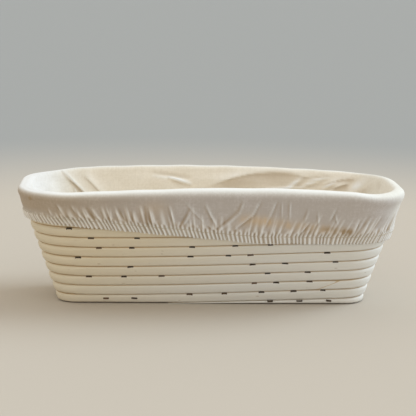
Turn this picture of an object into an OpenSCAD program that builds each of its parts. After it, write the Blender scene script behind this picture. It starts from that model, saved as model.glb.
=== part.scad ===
// Long proofing basket: rattan cane coiled round a floor of straight rods and stapled
// course to course, with a cloth liner that turns over the rim and is held outside
// by an elastic hem.
// The basket stands on Z = 0 with its length along X, and its front faces -Y.

/* [Cane] */
// Diameter of the rattan cane in the wall
cane_d = 8.5; // [8.2:0.1:8.8]
// Gap between neighbouring courses
course_gap = 0.06; // [0.04:0.01:0.1]
// Courses in the wall, from the table to the rim
courses = 11; // [10:1:12]
// Squareness of the cane's section: 2 is round, and a higher number has flatter faces
squareness = 3.2; // [2.4:0.1:3.6]
// Length of the slanted cut where two lengths of cane meet
scarf_l = 18; // [12:1:20]

/* [Basket] */
// Length over the bottom course
base_l = 243.5; // [235:0.5:260]
// Lean of the wall from the vertical, in degrees
wall_flare = 19; // [15:1:21]
// Outer corner radius at the bottom course
base_corner = 17; // [16:1:19]
// Outer corner radius at the rim
rim_corner = 45; // [41:1:46]
// Diameter of the straight rods in the floor
rod_d = 7.6; // [7.4:0.1:7.8]
// Depth sanded off the floor rods so that the basket stands flat
foot_flat = 0.15; // [0.1:0.05:0.3]

/* [Climb] */
// Where each course starts to climb onto the one below, from the front's left end
climb_start = 15; // [10:1:25]
// Length over which a course climbs by one cane
climb_length = 300; // [240:5:300]

/* [Staples] */
// Width of a staple's crown
staple_crown = 4.4; // [3.6:0.2:5.2]
// Width of the flat staple wire
staple_wire_w = 1.1; // [0.9:0.1:1.3]
// Thickness of the flat staple wire
staple_wire_t = 0.6; // [0.5:0.1:0.7]
// Length of a wall staple's legs
staple_leg = 10; // [8:0.5:10]

/* [Liner] */
// Thickness of the cloth
cloth_t = 0.8; // [0.6:0.1:1]
// Room between the cloth and the canes
liner_gap = 0.4; // [0.35:0.05:0.6]
// Rise of the rolled cloth over the middle of the long sides
rim_crown = 4.5; // [0:0.5:5]
// Height of the hem along the long part of the skirt, at the right
hem_low = 52; // [48:1:54]
// Height of the hem where the skirt is pulled up, at the left
hem_high = 67; // [60:1:68]
// Height of the folded hem
hem_h = 7.5; // [6.5:0.5:9]
// Width of the elastic band
elastic_w = 5; // [4:0.5:5]
// Thickness of the elastic band
elastic_t = 1; // [0.8:0.1:1.2]

/* [Hidden] */

cane_colour = [0.88, 0.83, 0.72];
rod_colour = [0.85, 0.79, 0.66];
staple_colour = [0.16, 0.12, 0.09];
cloth_colour = [0.90, 0.86, 0.78];
elastic_colour = [0.95, 0.94, 0.90];
thread_colour = [0.93, 0.90, 0.83];

// Straight rods side by side in the floor
floor_rods = 6;
cane_r = cane_d / 2;
rod_r = rod_d / 2;
rod_pitch = rod_d + course_gap;
pitch = cane_d + course_gap;
rise = pitch * cos(wall_flare);
spread = pitch * sin(wall_flare);
top_course = courses - 1;

// Point of a pressed cane's section, and how far the leaning section reaches sideways
function pressed(a) = [
  sign(cos(a)) * pow(abs(cos(a)), 2 / squareness),
  sign(sin(a)) * pow(abs(sin(a)), 2 / squareness)
];
dual = squareness / (squareness - 1);
section_reach = cane_r * pow(pow(cos(wall_flare), dual) + pow(sin(wall_flare), dual), 1 / dual);

// Centreline of the bottom course: half length, half width and corner radius
rod_clear = 0.2;
ring_x = base_l / 2 - section_reach;
ring_y = floor_rods * rod_pitch / 2 + section_reach + rod_clear;
ring_corner = base_corner - section_reach;
corner_gain = (rim_corner - base_corner) / (spread * top_course);

// A turn has eight stretches, numbered by where they start: the front is 0 to 1, then
// come the corner 1 to 2, the right end 2 to 3, and so on round to the front again.
turn = 8;
corner_steps = 6;
straight_steps = [8, 2, 6, 2];
stations = [
  for (side = [0:3]) each concat(
    [for (i = [0:straight_steps[side] - 1]) 2 * side + i / straight_steps[side]],
    [for (i = [0:corner_steps - 1]) 2 * side + 1 + i / corner_steps]
  )
];
section_sides = 12;

// Lengths of the stretches at half height, for the length of the climb
mid_offset = spread * top_course / 2;
run_l = 2 * (ring_x + mid_offset - corner_radius(mid_offset));
run_w = 2 * (ring_y + mid_offset - corner_radius(mid_offset));
run_c = PI / 2 * corner_radius(mid_offset);

function clamp01(v) = max(0, min(1, v));
function smooth(v) = let (c = clamp01(v)) c * c * (3 - 2 * c);
function mix(a, b, f) = a + (b - a) * f;

// Plan of the basket: the outline that lies offset mm outside the bottom course
function corner_radius(offset) = ring_corner + corner_gain * offset;
function corner_centre(corner, offset) =
  let (
    c = corner % 4,
    x = ring_x + offset - corner_radius(offset),
    y = ring_y + offset - corner_radius(offset)
  ) [c < 2 ? x : -x, c == 1 || c == 2 ? y : -y];
function facing(station) =
  let (side = floor(station / 2)) 90 * (side - 1 + max(0, station - 2 * side - 1));
function outward(station) = [cos(facing(station)), sin(facing(station)), 0];
function onward(station) = [-sin(facing(station)), cos(facing(station)), 0];
function plan(station, offset) =
  let (
    side = floor(station / 2),
    along = min(1, station - 2 * side),
    centre = mix(corner_centre(side + 3, offset), corner_centre(side, offset), along)
  ) [centre.x, centre.y, 0] + corner_radius(offset) * outward(station);

// Share of one course that the coil has climbed at a station of its turn
function travelled(station) = lookup(station, [
  [0, 0], [1, run_l], [2, run_l + run_c], [3, run_l + run_c + run_w],
  [4, run_l + 2 * run_c + run_w]
]);
function climb(station) = smooth((travelled(station) - climb_start) / climb_length);

// The first turn starts as a wedge on the table and the last one ends as a wedge at the rim.
// The wedge is a little thinner than its share of the climb, to clear the course beside it.
wedge_share = 0.93;
wedge_trim = 0.045;
function wedge(share) =
  share * mix(wedge_share, 1, pow(share, 4)) - wedge_trim * (1 - share);
function level(lap, station) = max(0, min(top_course, lap - 1 + climb(station)));
function thickness(lap, station) = cane_d * (
  lap == 0 ? wedge(climb(station)) : lap == courses ? wedge(1 - climb(station)) : 1
);
// The wedge at the rim is narrower where it is thinner, as the top of the cane's section is
function wedge_width(share) = pow(1 - pow(1 - share, squareness), 1 / squareness);
// Middle of the whole cane, and the middle of what is left of it in a wedge
function course_centre(lap, station) =
  let (high = level(lap, station))
  plan(station, spread * high) + [0, 0, cane_r + rise * high];
function cane_centre(lap, station) =
  let (missing = (cane_d - thickness(lap, station)) / 2)
  course_centre(lap, station) + missing * (
    lap == 0 ? [0, 0, -1] : lap == courses ? wall_up(station, wall_flare) : [0, 0, 0]
  );

// Directions square to the wall and up along it, where it leans out by an angle
function wall_out(station, lean) = outward(station) * cos(lean) - [0, 0, sin(lean)];
function wall_up(station, lean) = outward(station) * sin(lean) + [0, 0, cos(lean)];
function on_table(p) = [p.x, p.y, max(0, p.z)];

// One ring of points round the cane, slanted by skew where the cane is cut for a splice.
// The wedge on the table lies flatter the thinner it is, and where the leaning section would
// dip below the table, it is sanded flat.
function cane_ring(lap, station, skew, shift) =
  let (
    thick = thickness(lap, station),
    lean = lap == 0 ? wall_flare * thick / cane_d : wall_flare,
    half_w = cane_r * (lap == courses ? wedge_width(thick / cane_d) : 1)
  ) [
    for (i = [0:section_sides - 1])
      let (p = pressed(360 * i / section_sides))
      on_table(cane_centre(lap, station)
        + wall_out(station, lean) * half_w * p.x
        + wall_up(station, lean) * thick / 2 * p.y
        + onward(station) * (skew / 2 * p.y + shift))
  ];

// Where the lengths of cane start and end, as [turn, station]
coil_start = [0, 0.34];
coil_end = [courses, 1.5];
splices = [[2, 0.93], [4, 4.59], [6, 4.25], [8, 4.58]];
splice_gap = 0.1;
cane_ends = concat([coil_start], splices, [coil_end]);
function reach(end) = turn * end[0] + end[1];
station_room = 0.03;

// Skin of a tube through rings of equal length, closed by flat ends
function tube_faces(rings, sides) = concat(
  [[for (k = [sides - 1:-1:0]) k]],
  [
    for (r = [0:rings - 2], k = [0:sides - 1])
      let (a = r * sides + k, b = r * sides + (k + 1) % sides)
      each [[a, b, b + sides], [a, b + sides, a + sides]]
  ],
  [[for (k = [0:sides - 1]) (rings - 1) * sides + k]]
);

// Skin of a ring-shaped band whose section has the given number of points
function band_faces(rings, sides) = [
  for (r = [0:rings - 1], k = [0:sides - 1])
    let (
      next = (r + 1) % rings,
      a = r * sides + k,
      b = r * sides + (k + 1) % sides,
      c = next * sides + (k + 1) % sides,
      d = next * sides + k
    )
    each [[a, b, c], [a, c, d]]
];

// One length of cane between two entries of cane_ends
module cane_length(number) {
  from = cane_ends[number - 1];
  to = cane_ends[number];
  spliced_start = number > 1;
  spliced_end = number < len(cane_ends) - 1;
  middle = [
    for (lap = [from[0]:to[0]], station = stations)
      if (reach([lap, station]) > reach(from) + station_room
          && reach([lap, station]) < reach(to) - station_room)
        cane_ring(lap, station, 0, 0)
  ];
  rings = concat(
    [cane_ring(from[0], from[1], spliced_start ? scarf_l : 0, spliced_start ? splice_gap / 2 : 0)],
    middle,
    [cane_ring(to[0], to[1], spliced_end ? scarf_l : 0, spliced_end ? -splice_gap / 2 : 0)]
  );
  color(cane_colour)
    polyhedron([for (ring = rings) each ring], tube_faces(len(rings), section_sides), convexity = 10);
}

// A band that runs round the basket: the section at each station is a list of [offset, height]
module band(sections) {
  polyhedron(
    [
      for (i = [0:len(stations) - 1], p = sections[i])
        plan(stations[i], p[0]) + [0, 0, p[1]]
    ],
    band_faces(len(stations), len(sections[0])),
    convexity = 10
  );
}

// Straight rods that make the floor, sanded flat underneath
function rod_y(number) = (number - (floor_rods + 1) / 2) * rod_pitch;
function rod_half(number) =
  let (
    inner_r = ring_corner - section_reach - rod_clear,
    past = max(0, abs(rod_y(number)) + rod_r - (ring_y - ring_corner))
  ) ring_x - ring_corner + sqrt(max(0, inner_r * inner_r - past * past));

module floor_rod(number) {
  color(rod_colour)
    difference() {
      translate([-rod_half(number), rod_y(number), rod_r - foot_flat])
        rotate([0, 90, 0])
          cylinder(h = 2 * rod_half(number), r = rod_r, $fn = 48);
      translate([-base_l / 2, rod_y(number) - rod_d, -rod_d])
        cube([base_l, 2 * rod_d, rod_d]);
    }
}

// A U of flat wire: its crown is centred on the origin and its legs run along +Y
module staple(leg) {
  half = staple_crown / 2;
  inner = half - staple_wire_w;
  back = -staple_wire_t / 2;
  translate([0, 0, -staple_wire_w / 2])
    linear_extrude(staple_wire_w)
      polygon([
        [-half, back], [half, back], [half, leg], [inner, leg],
        [inner, back + staple_wire_t], [-inner, back + staple_wire_t], [-inner, leg], [-half, leg]
      ]);
}

// Puts a staple at a point, with its crown along one direction and its legs along another
module set_staple(at, crown_dir, leg_dir, leg) {
  across = cross(crown_dir, leg_dir);
  multmatrix([
    [crown_dir.x, leg_dir.x, across.x, at.x],
    [crown_dir.y, leg_dir.y, across.y, at.y],
    [crown_dir.z, leg_dir.z, across.z, at.z],
    [0, 0, 0, 1]
  ])
    staple(leg);
}

// Places of the wall staples along the front, as X from the middle, one list for each turn
front_staples = [
  [], [-15, 11, 38, 62, 84], [33, 48, 74], [-89, -64, -36, 43, 72], [-58, 32, 56, 93],
  [-97, -14, 13, 29, 86], [-81, -57, -13, 18, 43], [-87, -53, -6, 40, 79], [-104, -60, -18, 33, 88],
  [-82, -35, 12, 55, 97], [-93, -48, 4, 51, 90]
];
coil_end_staples = [-95, -50, -5];
back_count = 5;
function front_station(x, lap) =
  let (half = plan(1, spread * max(0, lap - 0.5)).x) clamp01((x + half) / (2 * half));
function stagger(lap, factor) = factor * lap - floor(factor * lap);
function wall_stations(lap) = lap == courses
  ? [for (x = coil_end_staples) front_station(x, lap)]
  : concat(
      [for (x = front_staples[min(lap, len(front_staples) - 1)]) front_station(x, lap)],
      [2.2 + 0.6 * stagger(lap, 0.61)],
      [for (i = [0:back_count - 1]) 4 + (i + 0.15 + 0.7 * stagger(lap, 0.43)) / back_count],
      [6.2 + 0.6 * stagger(lap, 0.29)]
    );

// A wall staple's crown sits on the upper shoulder of its course, and its legs go down
// through the course into the one below. Under the liner's rolled rim it is driven flush.
shoulder = 50;
leg_lean = 20;
tip_room = 3;
crown_sink = 0.05;
rim_sink = 0.6;

module wall_staples() {
  color(staple_colour)
    for (lap = [1:courses], station = wall_stations(lap)) {
      sink = lap < top_course ? crown_sink : rim_sink;
      p = pressed(shoulder) * (cane_r - sink);
      out = wall_out(station, wall_flare);
      up = wall_up(station, wall_flare);
      at = course_centre(lap, station) + out * p.x + up * p.y;
      leg_dir = -out * sin(leg_lean) - up * cos(leg_lean);
      leg = min(staple_leg, (at.z - tip_room) / -leg_dir.z);
      set_staple(at, onward(station), leg_dir, leg);
    }
}

// Staples that go in level through the bottom course, into the rods of the floor
ring_front = [-76, -55, 43, 67, 89];
ring_back = [-80, -40, 0, 40, 80];
ring_leg = 11;
ring_sink = 0.1;

module ring_staple(station, lap) {
  at = cane_centre(lap, station) + outward(station) * (section_reach - ring_sink);
  set_staple(at, onward(station), -outward(station), ring_leg);
}

module ring_staples() {
  straight_x = ring_x - ring_corner;
  straight_y = ring_y - ring_corner;
  color(staple_colour) {
    for (x = ring_front)
      ring_staple((x + straight_x) / (2 * straight_x), x < 0 ? 1 : 0);
    for (x = ring_back)
      ring_staple(4 + (straight_x - x) / (2 * straight_x), 0);
    for (rod = [1:floor_rods])
      if (abs(rod_y(rod)) < straight_y) {
        ring_staple(2 + (rod_y(rod) + straight_y) / (2 * straight_y), 0);
        ring_staple(6 + (straight_y - rod_y(rod)) / (2 * straight_y), 0);
      }
  }
}

// Staples in the grooves between the rods, driven from below
floor_leg = 5.6;
floor_shoulder = 45;
floor_places = [-80, -27, 27, 80];
floor_shift = 9;

module floor_staples() {
  color(staple_colour)
    for (rod = [1:floor_rods - 1], x = floor_places) {
      low = rod_r * sin(floor_shoulder);
      at = [
        x + (rod % 2 == 0 ? floor_shift : -floor_shift),
        rod_y(rod) + rod_r * cos(floor_shoulder),
        rod_r - foot_flat - low
      ];
      target = [at.x, rod_y(rod + 1), rod_r - foot_flat];
      set_staple(at, [1, 0, 0], (target - at) / norm(target - at), floor_leg);
    }
}

// Points beside the wall as [offset, height]: out from the middle of the canes, and up the wall
function beside(out, up) = [
  out * cos(wall_flare) + up * sin(wall_flare),
  cane_r - out * sin(wall_flare) + up * cos(wall_flare)
];
function up_to_height(out, z) = (z - cane_r + out * sin(wall_flare)) / cos(wall_flare);
inner_face = cane_r + liner_gap;
outer_face = inner_face + cloth_t;
wall_top = pitch * top_course;
liner_base = rod_d + liner_gap;
liner_floor_top = liner_base + cloth_t;
// The cloth follows the top course's section over the rim. The wall's share of it ends at
// roll_end, above the course's widest place, and the skirt goes on from there.
roll_steps = 7;
roll_end = 30;
skirt_steps = 2;
// Along the long sides the roll is higher in the middle. The rise is whole from crown_turn
// inwards, and fades out towards the outside of the roll.
crown_power = 1.3;
crown_turn = 70;
function crown(station) =
  let (along = station - 4 * floor(station / 4))
  along < 1 ? rim_crown * pow(sin(180 * along), crown_power) : 0;
function roll(station, radius, from, to, steps) = [
  for (i = [0:steps])
    let (a = mix(from, to, i / steps), p = pressed(a) * radius)
    beside(p.x, wall_top + p.y) + [0, crown(station) * smooth(a / crown_turn)]
];

module liner_floor() {
  edge = beside(-inner_face, up_to_height(-inner_face, liner_floor_top))[0];
  color(cloth_colour)
    translate([0, 0, liner_base])
      linear_extrude(cloth_t)
        polygon([for (station = stations) let (p = plan(station, edge)) [p.x, p.y]]);
}

module liner_wall() {
  color(cloth_colour)
    band([
      for (station = stations)
        concat(
          [beside(-outer_face, up_to_height(-outer_face, liner_floor_top))],
          roll(station, outer_face, 180, roll_end, roll_steps),
          roll(station, inner_face, roll_end, 180, roll_steps),
          [beside(-inner_face, up_to_height(-inner_face, liner_floor_top))]
        )
    ]);
}

// The hem drops from the left to the right, and is level past drop_end
drop_start = -125;
drop_end = 35;
function hem_z(station) =
  let (x = plan(station, mid_offset).x)
  mix(hem_low, hem_high, clamp01((drop_end - x) / (drop_end - drop_start)));
function hem_up(station) = up_to_height(inner_face, hem_z(station));
casing = elastic_t + 0.2;
hem_face = outer_face + casing + cloth_t;
hem_blend = 9;
elastic_room = 0.1;
thread_d = 0.6;

module liner_skirt() {
  color(cloth_colour)
    band([
      for (station = stations)
        let (up = hem_up(station))
        concat(
          roll(station, outer_face, roll_end, 0, skirt_steps),
          [beside(outer_face, up + hem_h + hem_blend)],
          [beside(hem_face, up + hem_h)],
          [beside(hem_face, up)],
          [beside(inner_face, up)],
          [beside(inner_face, up + hem_h)],
          [beside(outer_face, up + hem_h)],
          [beside(outer_face, up + cloth_t)],
          [beside(outer_face + casing, up + cloth_t)],
          [beside(outer_face + casing, up + hem_h)],
          [beside(inner_face, up + hem_h + hem_blend)],
          roll(station, inner_face, 0, roll_end, skirt_steps)
        )
    ]);
}

// A band of rectangular section that lies along the wall, between two places out from the
// canes and two heights above the hem
module hem_strip(out_from, out_to, up_from, up_to) {
  band([
    for (station = stations)
      let (up = hem_up(station))
      [
        beside(out_from, up + up_from), beside(out_from, up + up_to),
        beside(out_to, up + up_to), beside(out_to, up + up_from)
      ]
  ]);
}

module hem_elastic() {
  low = cloth_t + elastic_room;
  color(elastic_colour)
    hem_strip(outer_face + elastic_room, outer_face + casing - elastic_room, low, low + elastic_w);
}

module hem_thread() {
  color(thread_colour)
    hem_strip(outer_face, outer_face + casing, hem_h - thread_d, hem_h);
}

module floor_seam_thread() {
  edge = beside(-outer_face, up_to_height(-outer_face, liner_floor_top))[0];
  section = [
    [edge - thread_d, liner_floor_top], [edge - thread_d, liner_floor_top + thread_d],
    [edge, liner_floor_top + thread_d], [edge, liner_floor_top]
  ];
  color(thread_colour) band([for (station = stations) section]);
}

floor_rod(1);  // floor_rod_1
floor_rod(2);  // floor_rod_2
floor_rod(3);  // floor_rod_3
floor_rod(4);  // floor_rod_4
floor_rod(5);  // floor_rod_5
floor_rod(6);  // floor_rod_6
cane_length(1);  // wall_cane_1
cane_length(2);  // wall_cane_2
cane_length(3);  // wall_cane_3
cane_length(4);  // wall_cane_4
cane_length(5);  // wall_cane_5
wall_staples();
ring_staples();
floor_staples();
liner_floor();
liner_wall();
liner_skirt();
hem_elastic();
hem_thread();
floor_seam_thread();
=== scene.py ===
import math

import bpy
import numpy as np
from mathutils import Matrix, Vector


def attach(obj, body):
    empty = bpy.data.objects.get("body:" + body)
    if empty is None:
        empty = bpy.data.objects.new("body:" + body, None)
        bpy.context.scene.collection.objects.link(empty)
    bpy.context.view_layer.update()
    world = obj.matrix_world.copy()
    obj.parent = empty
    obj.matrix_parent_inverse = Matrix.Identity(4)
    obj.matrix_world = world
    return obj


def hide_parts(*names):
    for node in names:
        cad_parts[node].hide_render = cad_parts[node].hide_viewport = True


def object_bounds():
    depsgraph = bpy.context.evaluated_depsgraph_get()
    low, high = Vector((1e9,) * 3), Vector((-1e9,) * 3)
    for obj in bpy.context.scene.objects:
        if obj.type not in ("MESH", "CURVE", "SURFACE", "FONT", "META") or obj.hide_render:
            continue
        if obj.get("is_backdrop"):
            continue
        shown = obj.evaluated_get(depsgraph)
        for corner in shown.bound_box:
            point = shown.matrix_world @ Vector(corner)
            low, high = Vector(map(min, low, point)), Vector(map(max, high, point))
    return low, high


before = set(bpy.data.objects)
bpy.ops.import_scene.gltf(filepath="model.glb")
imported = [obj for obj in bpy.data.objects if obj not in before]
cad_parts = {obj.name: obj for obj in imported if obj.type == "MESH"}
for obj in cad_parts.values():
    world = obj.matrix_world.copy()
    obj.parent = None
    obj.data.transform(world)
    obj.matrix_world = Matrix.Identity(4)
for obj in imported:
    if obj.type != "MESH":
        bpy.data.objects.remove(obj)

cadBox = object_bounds()
print("frame loaded:", len(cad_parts), "nodes")

# Basket: the measures of the canes' coil, in metres and radians, as in the part's source
basketForm = {
    "caneDiameter": 0.0085,
    "courseGap": 0.00006,
    "courses": 11,
    "squareness": 3.2,
    "baseLength": 0.2435,
    "flare": math.radians(19),
    "baseCorner": 0.017,
    "rimCorner": 0.045,
    "floorRods": 6,
    "rodDiameter": 0.0076,
    "rodClear": 0.0002,
    "footFlat": 0.00015,
    "climbStart": 0.015,
    "climbLength": 0.300,
    "wedgeShare": 0.93,
    "wedgeTrim": 0.045,
}
fullTurn = 2 * math.pi
quarterTurn = math.pi / 2
upright = np.array([0.0, 0.0, 1.0])
courses = basketForm["courses"]
topCourse = courses - 1
flare = basketForm["flare"]
sinFlare = math.sin(flare)
cosFlare = math.cos(flare)
caneDiameter = basketForm["caneDiameter"]
caneRadius = caneDiameter / 2
pitch = caneDiameter + basketForm["courseGap"]
rodCount = basketForm["floorRods"]
rodRadius = basketForm["rodDiameter"] / 2
rodPitch = basketForm["rodDiameter"] + basketForm["courseGap"]
rise = pitch * cosFlare
spread = pitch * sinFlare
wallTop = pitch * topCourse
rimOffset = spread * topCourse
midOffset = rimOffset / 2
squareness = basketForm["squareness"]
dual = squareness / (squareness - 1)
sectionReach = caneRadius * (cosFlare**dual + sinFlare**dual) ** (1 / dual)
ringX = basketForm["baseLength"] / 2 - sectionReach
ringY = rodCount * rodPitch / 2 + sectionReach + basketForm["rodClear"]
ringCorner = basketForm["baseCorner"] - sectionReach
cornerGain = (basketForm["rimCorner"] - basketForm["baseCorner"]) / rimOffset


def mix(a, b, share):
    return a + (b - a) * share


def smooth(value):
    # 0 below 0, 1 above 1, and 3v^2 - 2v^3 between
    v = np.clip(value, 0, 1)
    return v * v * (3 - 2 * v)


def rising(value, start, soft):
    # 0 up to start, then smoothly to 1 over a length of soft
    return smooth((value - start) / soft)


def between(value, low, high, soft):
    # rises smoothly from 0 at low and falls back to 0 at high, each over a length of soft
    return smooth((value - low) / soft) * smooth((high - value) / soft)


def bell(value):
    # e to the minus square: 1 at 0, and close to 0 from about 2 on
    return np.exp(-(value**2))


def scaled(ways, sizes):
    # each vector times its own size
    return ways * sizes[..., None]


def together(*arrays):
    # arrays spread to one shape and stacked on a last axis
    return np.stack(np.broadcast_arrays(*arrays), -1)


def lengthAlong(points):
    # length of the line from its first point to each point
    steps = np.linalg.norm(np.diff(points, axis=0), axis=1)
    return np.concatenate([[0], np.cumsum(steps)])


def roundAngles(sides):
    return np.arange(sides) * fullTurn / sides


def pressed(angle, square):
    # superellipse: cosine and sine, each to the power 2 / square with its sign kept
    c = np.cos(angle)
    s = np.sin(angle)
    return np.sign(c) * np.abs(c) ** (2 / square), np.sign(s) * np.abs(s) ** (2 / square)


# Plan of the basket: a turn has eight stretches, 0 to 1 the front, 1 to 2 a corner, and so on round
def cornerRadius(offset):
    # the bottom ring's radius, and a gain for every metre that the wall has flared out
    return ringCorner + cornerGain * offset


def facing(station):
    # angle of the way out: fixed along a side, and swept evenly by a quarter turn round a corner
    side = np.floor(station / 2)
    return quarterTurn * (side - 1 + np.maximum(0, station - 2 * side - 1))


def outward(station):
    # level unit vector out of the basket
    angle = facing(station)
    return np.stack([np.cos(angle), np.sin(angle), np.zeros_like(angle)], -1)


def onward(station):
    # level unit vector along the coil
    angle = facing(station)
    return np.stack([-np.sin(angle), np.cos(angle), np.zeros_like(angle)], -1)


def cornerCentre(corner, offset):
    # corner 0 is at the right of the front, and the other three mirror it
    turn = corner % 4
    x = ringX + offset - cornerRadius(offset)
    y = ringY + offset - cornerRadius(offset)
    return np.where(turn < 2, x, -x), np.where((turn == 1) | (turn == 2), y, -y)


def plan(station, offset):
    # the middle slides from one corner's centre to the next, and the corner's radius is added outwards
    side = np.floor(station / 2)
    along = np.minimum(1, station - 2 * side)
    fromX, fromY = cornerCentre(side + 3, offset)
    toX, toY = cornerCentre(side, offset)
    angle = facing(station)
    radius = cornerRadius(offset)
    x = mix(fromX, toX, along) + radius * np.cos(angle)
    y = mix(fromY, toY, along) + radius * np.sin(angle)
    return x, y


runLong = 2 * (ringX + midOffset - cornerRadius(midOffset))
runWide = 2 * (ringY + midOffset - cornerRadius(midOffset))
runCorner = quarterTurn * cornerRadius(midOffset)
climbRuns = np.cumsum([0, runLong, runCorner, runWide, runCorner])


def climb(station):
    # share of one course that the coil has climbed since the front's left end
    travelled = np.interp(station, np.arange(len(climbRuns)), climbRuns)
    return smooth((travelled - basketForm["climbStart"]) / basketForm["climbLength"])


def wedge(share):
    # a wedge is a little thinner than the share climbed, and trimmed below nothing at its thin end
    full = mix(basketForm["wedgeShare"], 1, share**4)
    return share * full - basketForm["wedgeTrim"] * (1 - share)


def level(lap, station):
    # height in courses: a turn starts where the last one ended
    return np.clip(lap - 1 + climb(station), 0, topCourse)


def thickness(lap, station):
    # whole, except in the wedge on the table (turn 0) and the wedge at the rim (the last turn)
    climbed = climb(station)
    first = wedge(climbed)
    last = wedge(1 - climbed)
    return caneDiameter * np.where(lap == 0, first, np.where(lap == courses, last, 1.0))


def courseCentre(lap, station):
    # the middle of the cane: out by the spread and up by the rise of each course below
    high = level(lap, station)
    x, y = plan(station, spread * high)
    return np.stack([x, y, caneRadius + rise * high], -1)


def wallOut(station, lean):
    # square to the wall, outwards
    return scaled(outward(station), np.cos(lean)) - scaled(upright, np.sin(lean))


def wallUp(station, lean):
    # along the wall, upwards
    return scaled(outward(station), np.sin(lean)) + scaled(upright, np.cos(lean))


# Hem of the liner: level at the right, higher towards the left end; all of it 1 mm above the solid's
hemLine = {"low": 0.0530, "high": 0.0681, "start": -0.125, "end": 0.035}


def hemHeight(station, line):
    # a straight climb from end to start, seen along X
    x = plan(station, midOffset)[0]
    return mix(line["low"], line["high"], np.clip((line["end"] - x) / (line["end"] - line["start"]), 0, 1))


# Meshes
def meshObject(name, points, corners, starts):
    # a smooth mesh from points, all faces' corners in one row, and the place in it where each face starts
    mesh = bpy.data.meshes.new(name)
    mesh.vertices.add(len(points))
    mesh.vertices.foreach_set("co", points.astype(np.float32).ravel())
    mesh.loops.add(len(corners))
    mesh.loops.foreach_set("vertex_index", corners.astype(np.int32))
    mesh.polygons.add(len(starts))
    mesh.polygons.foreach_set("loop_start", starts.astype(np.int32))
    mesh.update(calc_edges=True)
    mesh.polygons.foreach_set("use_smooth", np.ones(len(starts), bool))
    piece = bpy.data.objects.new(name, mesh)
    bpy.context.scene.collection.objects.link(piece)
    return piece


def setValues(mesh, values):
    # one attribute on the points for each name
    for key, value in values.items():
        attribute = mesh.attributes.new(key, "FLOAT", "POINT")
        attribute.data.foreach_set("value", value.astype(np.float32).ravel())


def faceCorners(grid):
    # the four corners of every face of a grid, on a new axis
    return np.stack([grid[:-1, :-1], grid[1:, :-1], grid[1:, 1:], grid[:-1, 1:]], 2)


def gridObject(name, points, wrapRows=False, wrapCols=False, capEnds=False, uv=None, values=None):
    # points is rows x columns x 3; a face's outside is where row direction x column direction points
    rows, cols = points.shape[:2]
    index = np.arange(rows * cols).reshape(rows, cols)
    wide = np.concatenate([index, index[:, :1]], 1) if wrapCols else index
    wide = np.concatenate([wide, wide[:1]], 0) if wrapRows else wide
    corners = faceCorners(wide).ravel()
    starts = np.arange(0, len(corners), 4)
    if capEnds:
        starts = np.concatenate([starts, [len(corners), len(corners) + cols]])
        corners = np.concatenate([corners, index[0], index[-1][::-1]])
    piece = meshObject(name, points.reshape(-1, 3), corners, starts)
    mesh = piece.data
    if uv is not None:
        face = faceCorners(uv).reshape(-1, 2)
        capUv = np.zeros((len(corners) - len(face), 2))
        layer = mesh.uv_layers.new(name="UVMap")
        layer.data.foreach_set("uv", np.concatenate([face, capUv]).astype(np.float32).ravel())
    # the grid's open edges and caps are sharp
    ends = np.empty(len(mesh.edges) * 2, np.int32)
    mesh.edges.foreach_get("vertices", ends)
    row, col = np.divmod(ends.reshape(-1, 2), cols)
    sharp = (row[:, 0] == row[:, 1]) & np.isin(row[:, 0], (0, rows - 1)) & (not wrapRows)
    sharp |= (col[:, 0] == col[:, 1]) & np.isin(col[:, 0], (0, cols - 1)) & (not wrapCols)
    mesh.attributes.new("sharp_edge", "BOOLEAN", "EDGE").data.foreach_set("value", sharp)
    setValues(mesh, {key: np.broadcast_to(value, (rows, cols)) for key, value in (values or {}).items()})
    mesh.update()
    return piece


def finishPiece(piece, body, material, node):
    piece.data.materials.append(material)
    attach(piece, body)
    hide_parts(node)
    return piece


def ripple(t, seed, count, low, high):
    # mean of sines with random lengths from low to high, raised to about -1 to 1
    rng = np.random.default_rng(seed)
    lengths = rng.uniform(low, high, count)
    phases = rng.uniform(0, fullTurn, count)
    waves = np.sin(fullTurn * t[..., None] / lengths + phases)
    return waves.mean(-1) * 1.6


def waveNoise(points, size, seed, count=18):
    # sum of plane waves in random directions with lengths about size, brought to about -1 to 1
    rng = np.random.default_rng(seed)
    way = rng.normal(size=(count, 3))
    way /= np.linalg.norm(way, axis=1)[:, None]
    way *= fullTurn / (size * rng.uniform(0.65, 1.5, count))[:, None]
    phases = rng.uniform(0, fullTurn, count)
    return np.sin(points @ way.T + phases).sum(-1) / math.sqrt(count / 2) / 1.4


# Shader helpers
def addNode(tree, kind, values=None, **settings):
    node = tree.nodes.new(kind)
    for key, value in settings.items():
        setattr(node, key, value)
    for key, value in (values or {}).items():
        node.inputs[key].default_value = value
    return node


def feed(tree, socket, value):
    # value is a socket to link, or a plain number or colour to set
    if isinstance(value, bpy.types.NodeSocket):
        tree.links.new(value, socket)
    else:
        socket.default_value = value


def sumUp(tree, operation, *values, clamp=False):
    # a math node
    node = addNode(tree, "ShaderNodeMath", operation=operation, use_clamp=clamp)
    for socket, value in zip(node.inputs, values):
        feed(tree, socket, value)
    return node.outputs[0]


def weighted(tree, *parts):
    # sum of sockets, each times its share
    total = 0.0
    for socket, share in parts:
        total = sumUp(tree, "MULTIPLY_ADD", socket, share, total)
    return total


def ramp(tree, value, low, high):
    # smooth 0 to 1 as value goes from low to high
    edges = {"From Min": low, "From Max": high}
    node = addNode(tree, "ShaderNodeMapRange", edges, interpolation_type="SMOOTHSTEP")
    tree.links.new(value, node.inputs["Value"])
    return node.outputs["Result"]


def blendColour(tree, share, first, second, kind="MIX"):
    # share, first and second are sockets, or plain numbers and colours
    node = addNode(tree, "ShaderNodeMix", data_type="RGBA", clamp_factor=True, blend_type=kind)
    for place, value in ((0, share), (6, first), (7, second)):
        feed(tree, node.inputs[place], value)
    return node.outputs[2]


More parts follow.
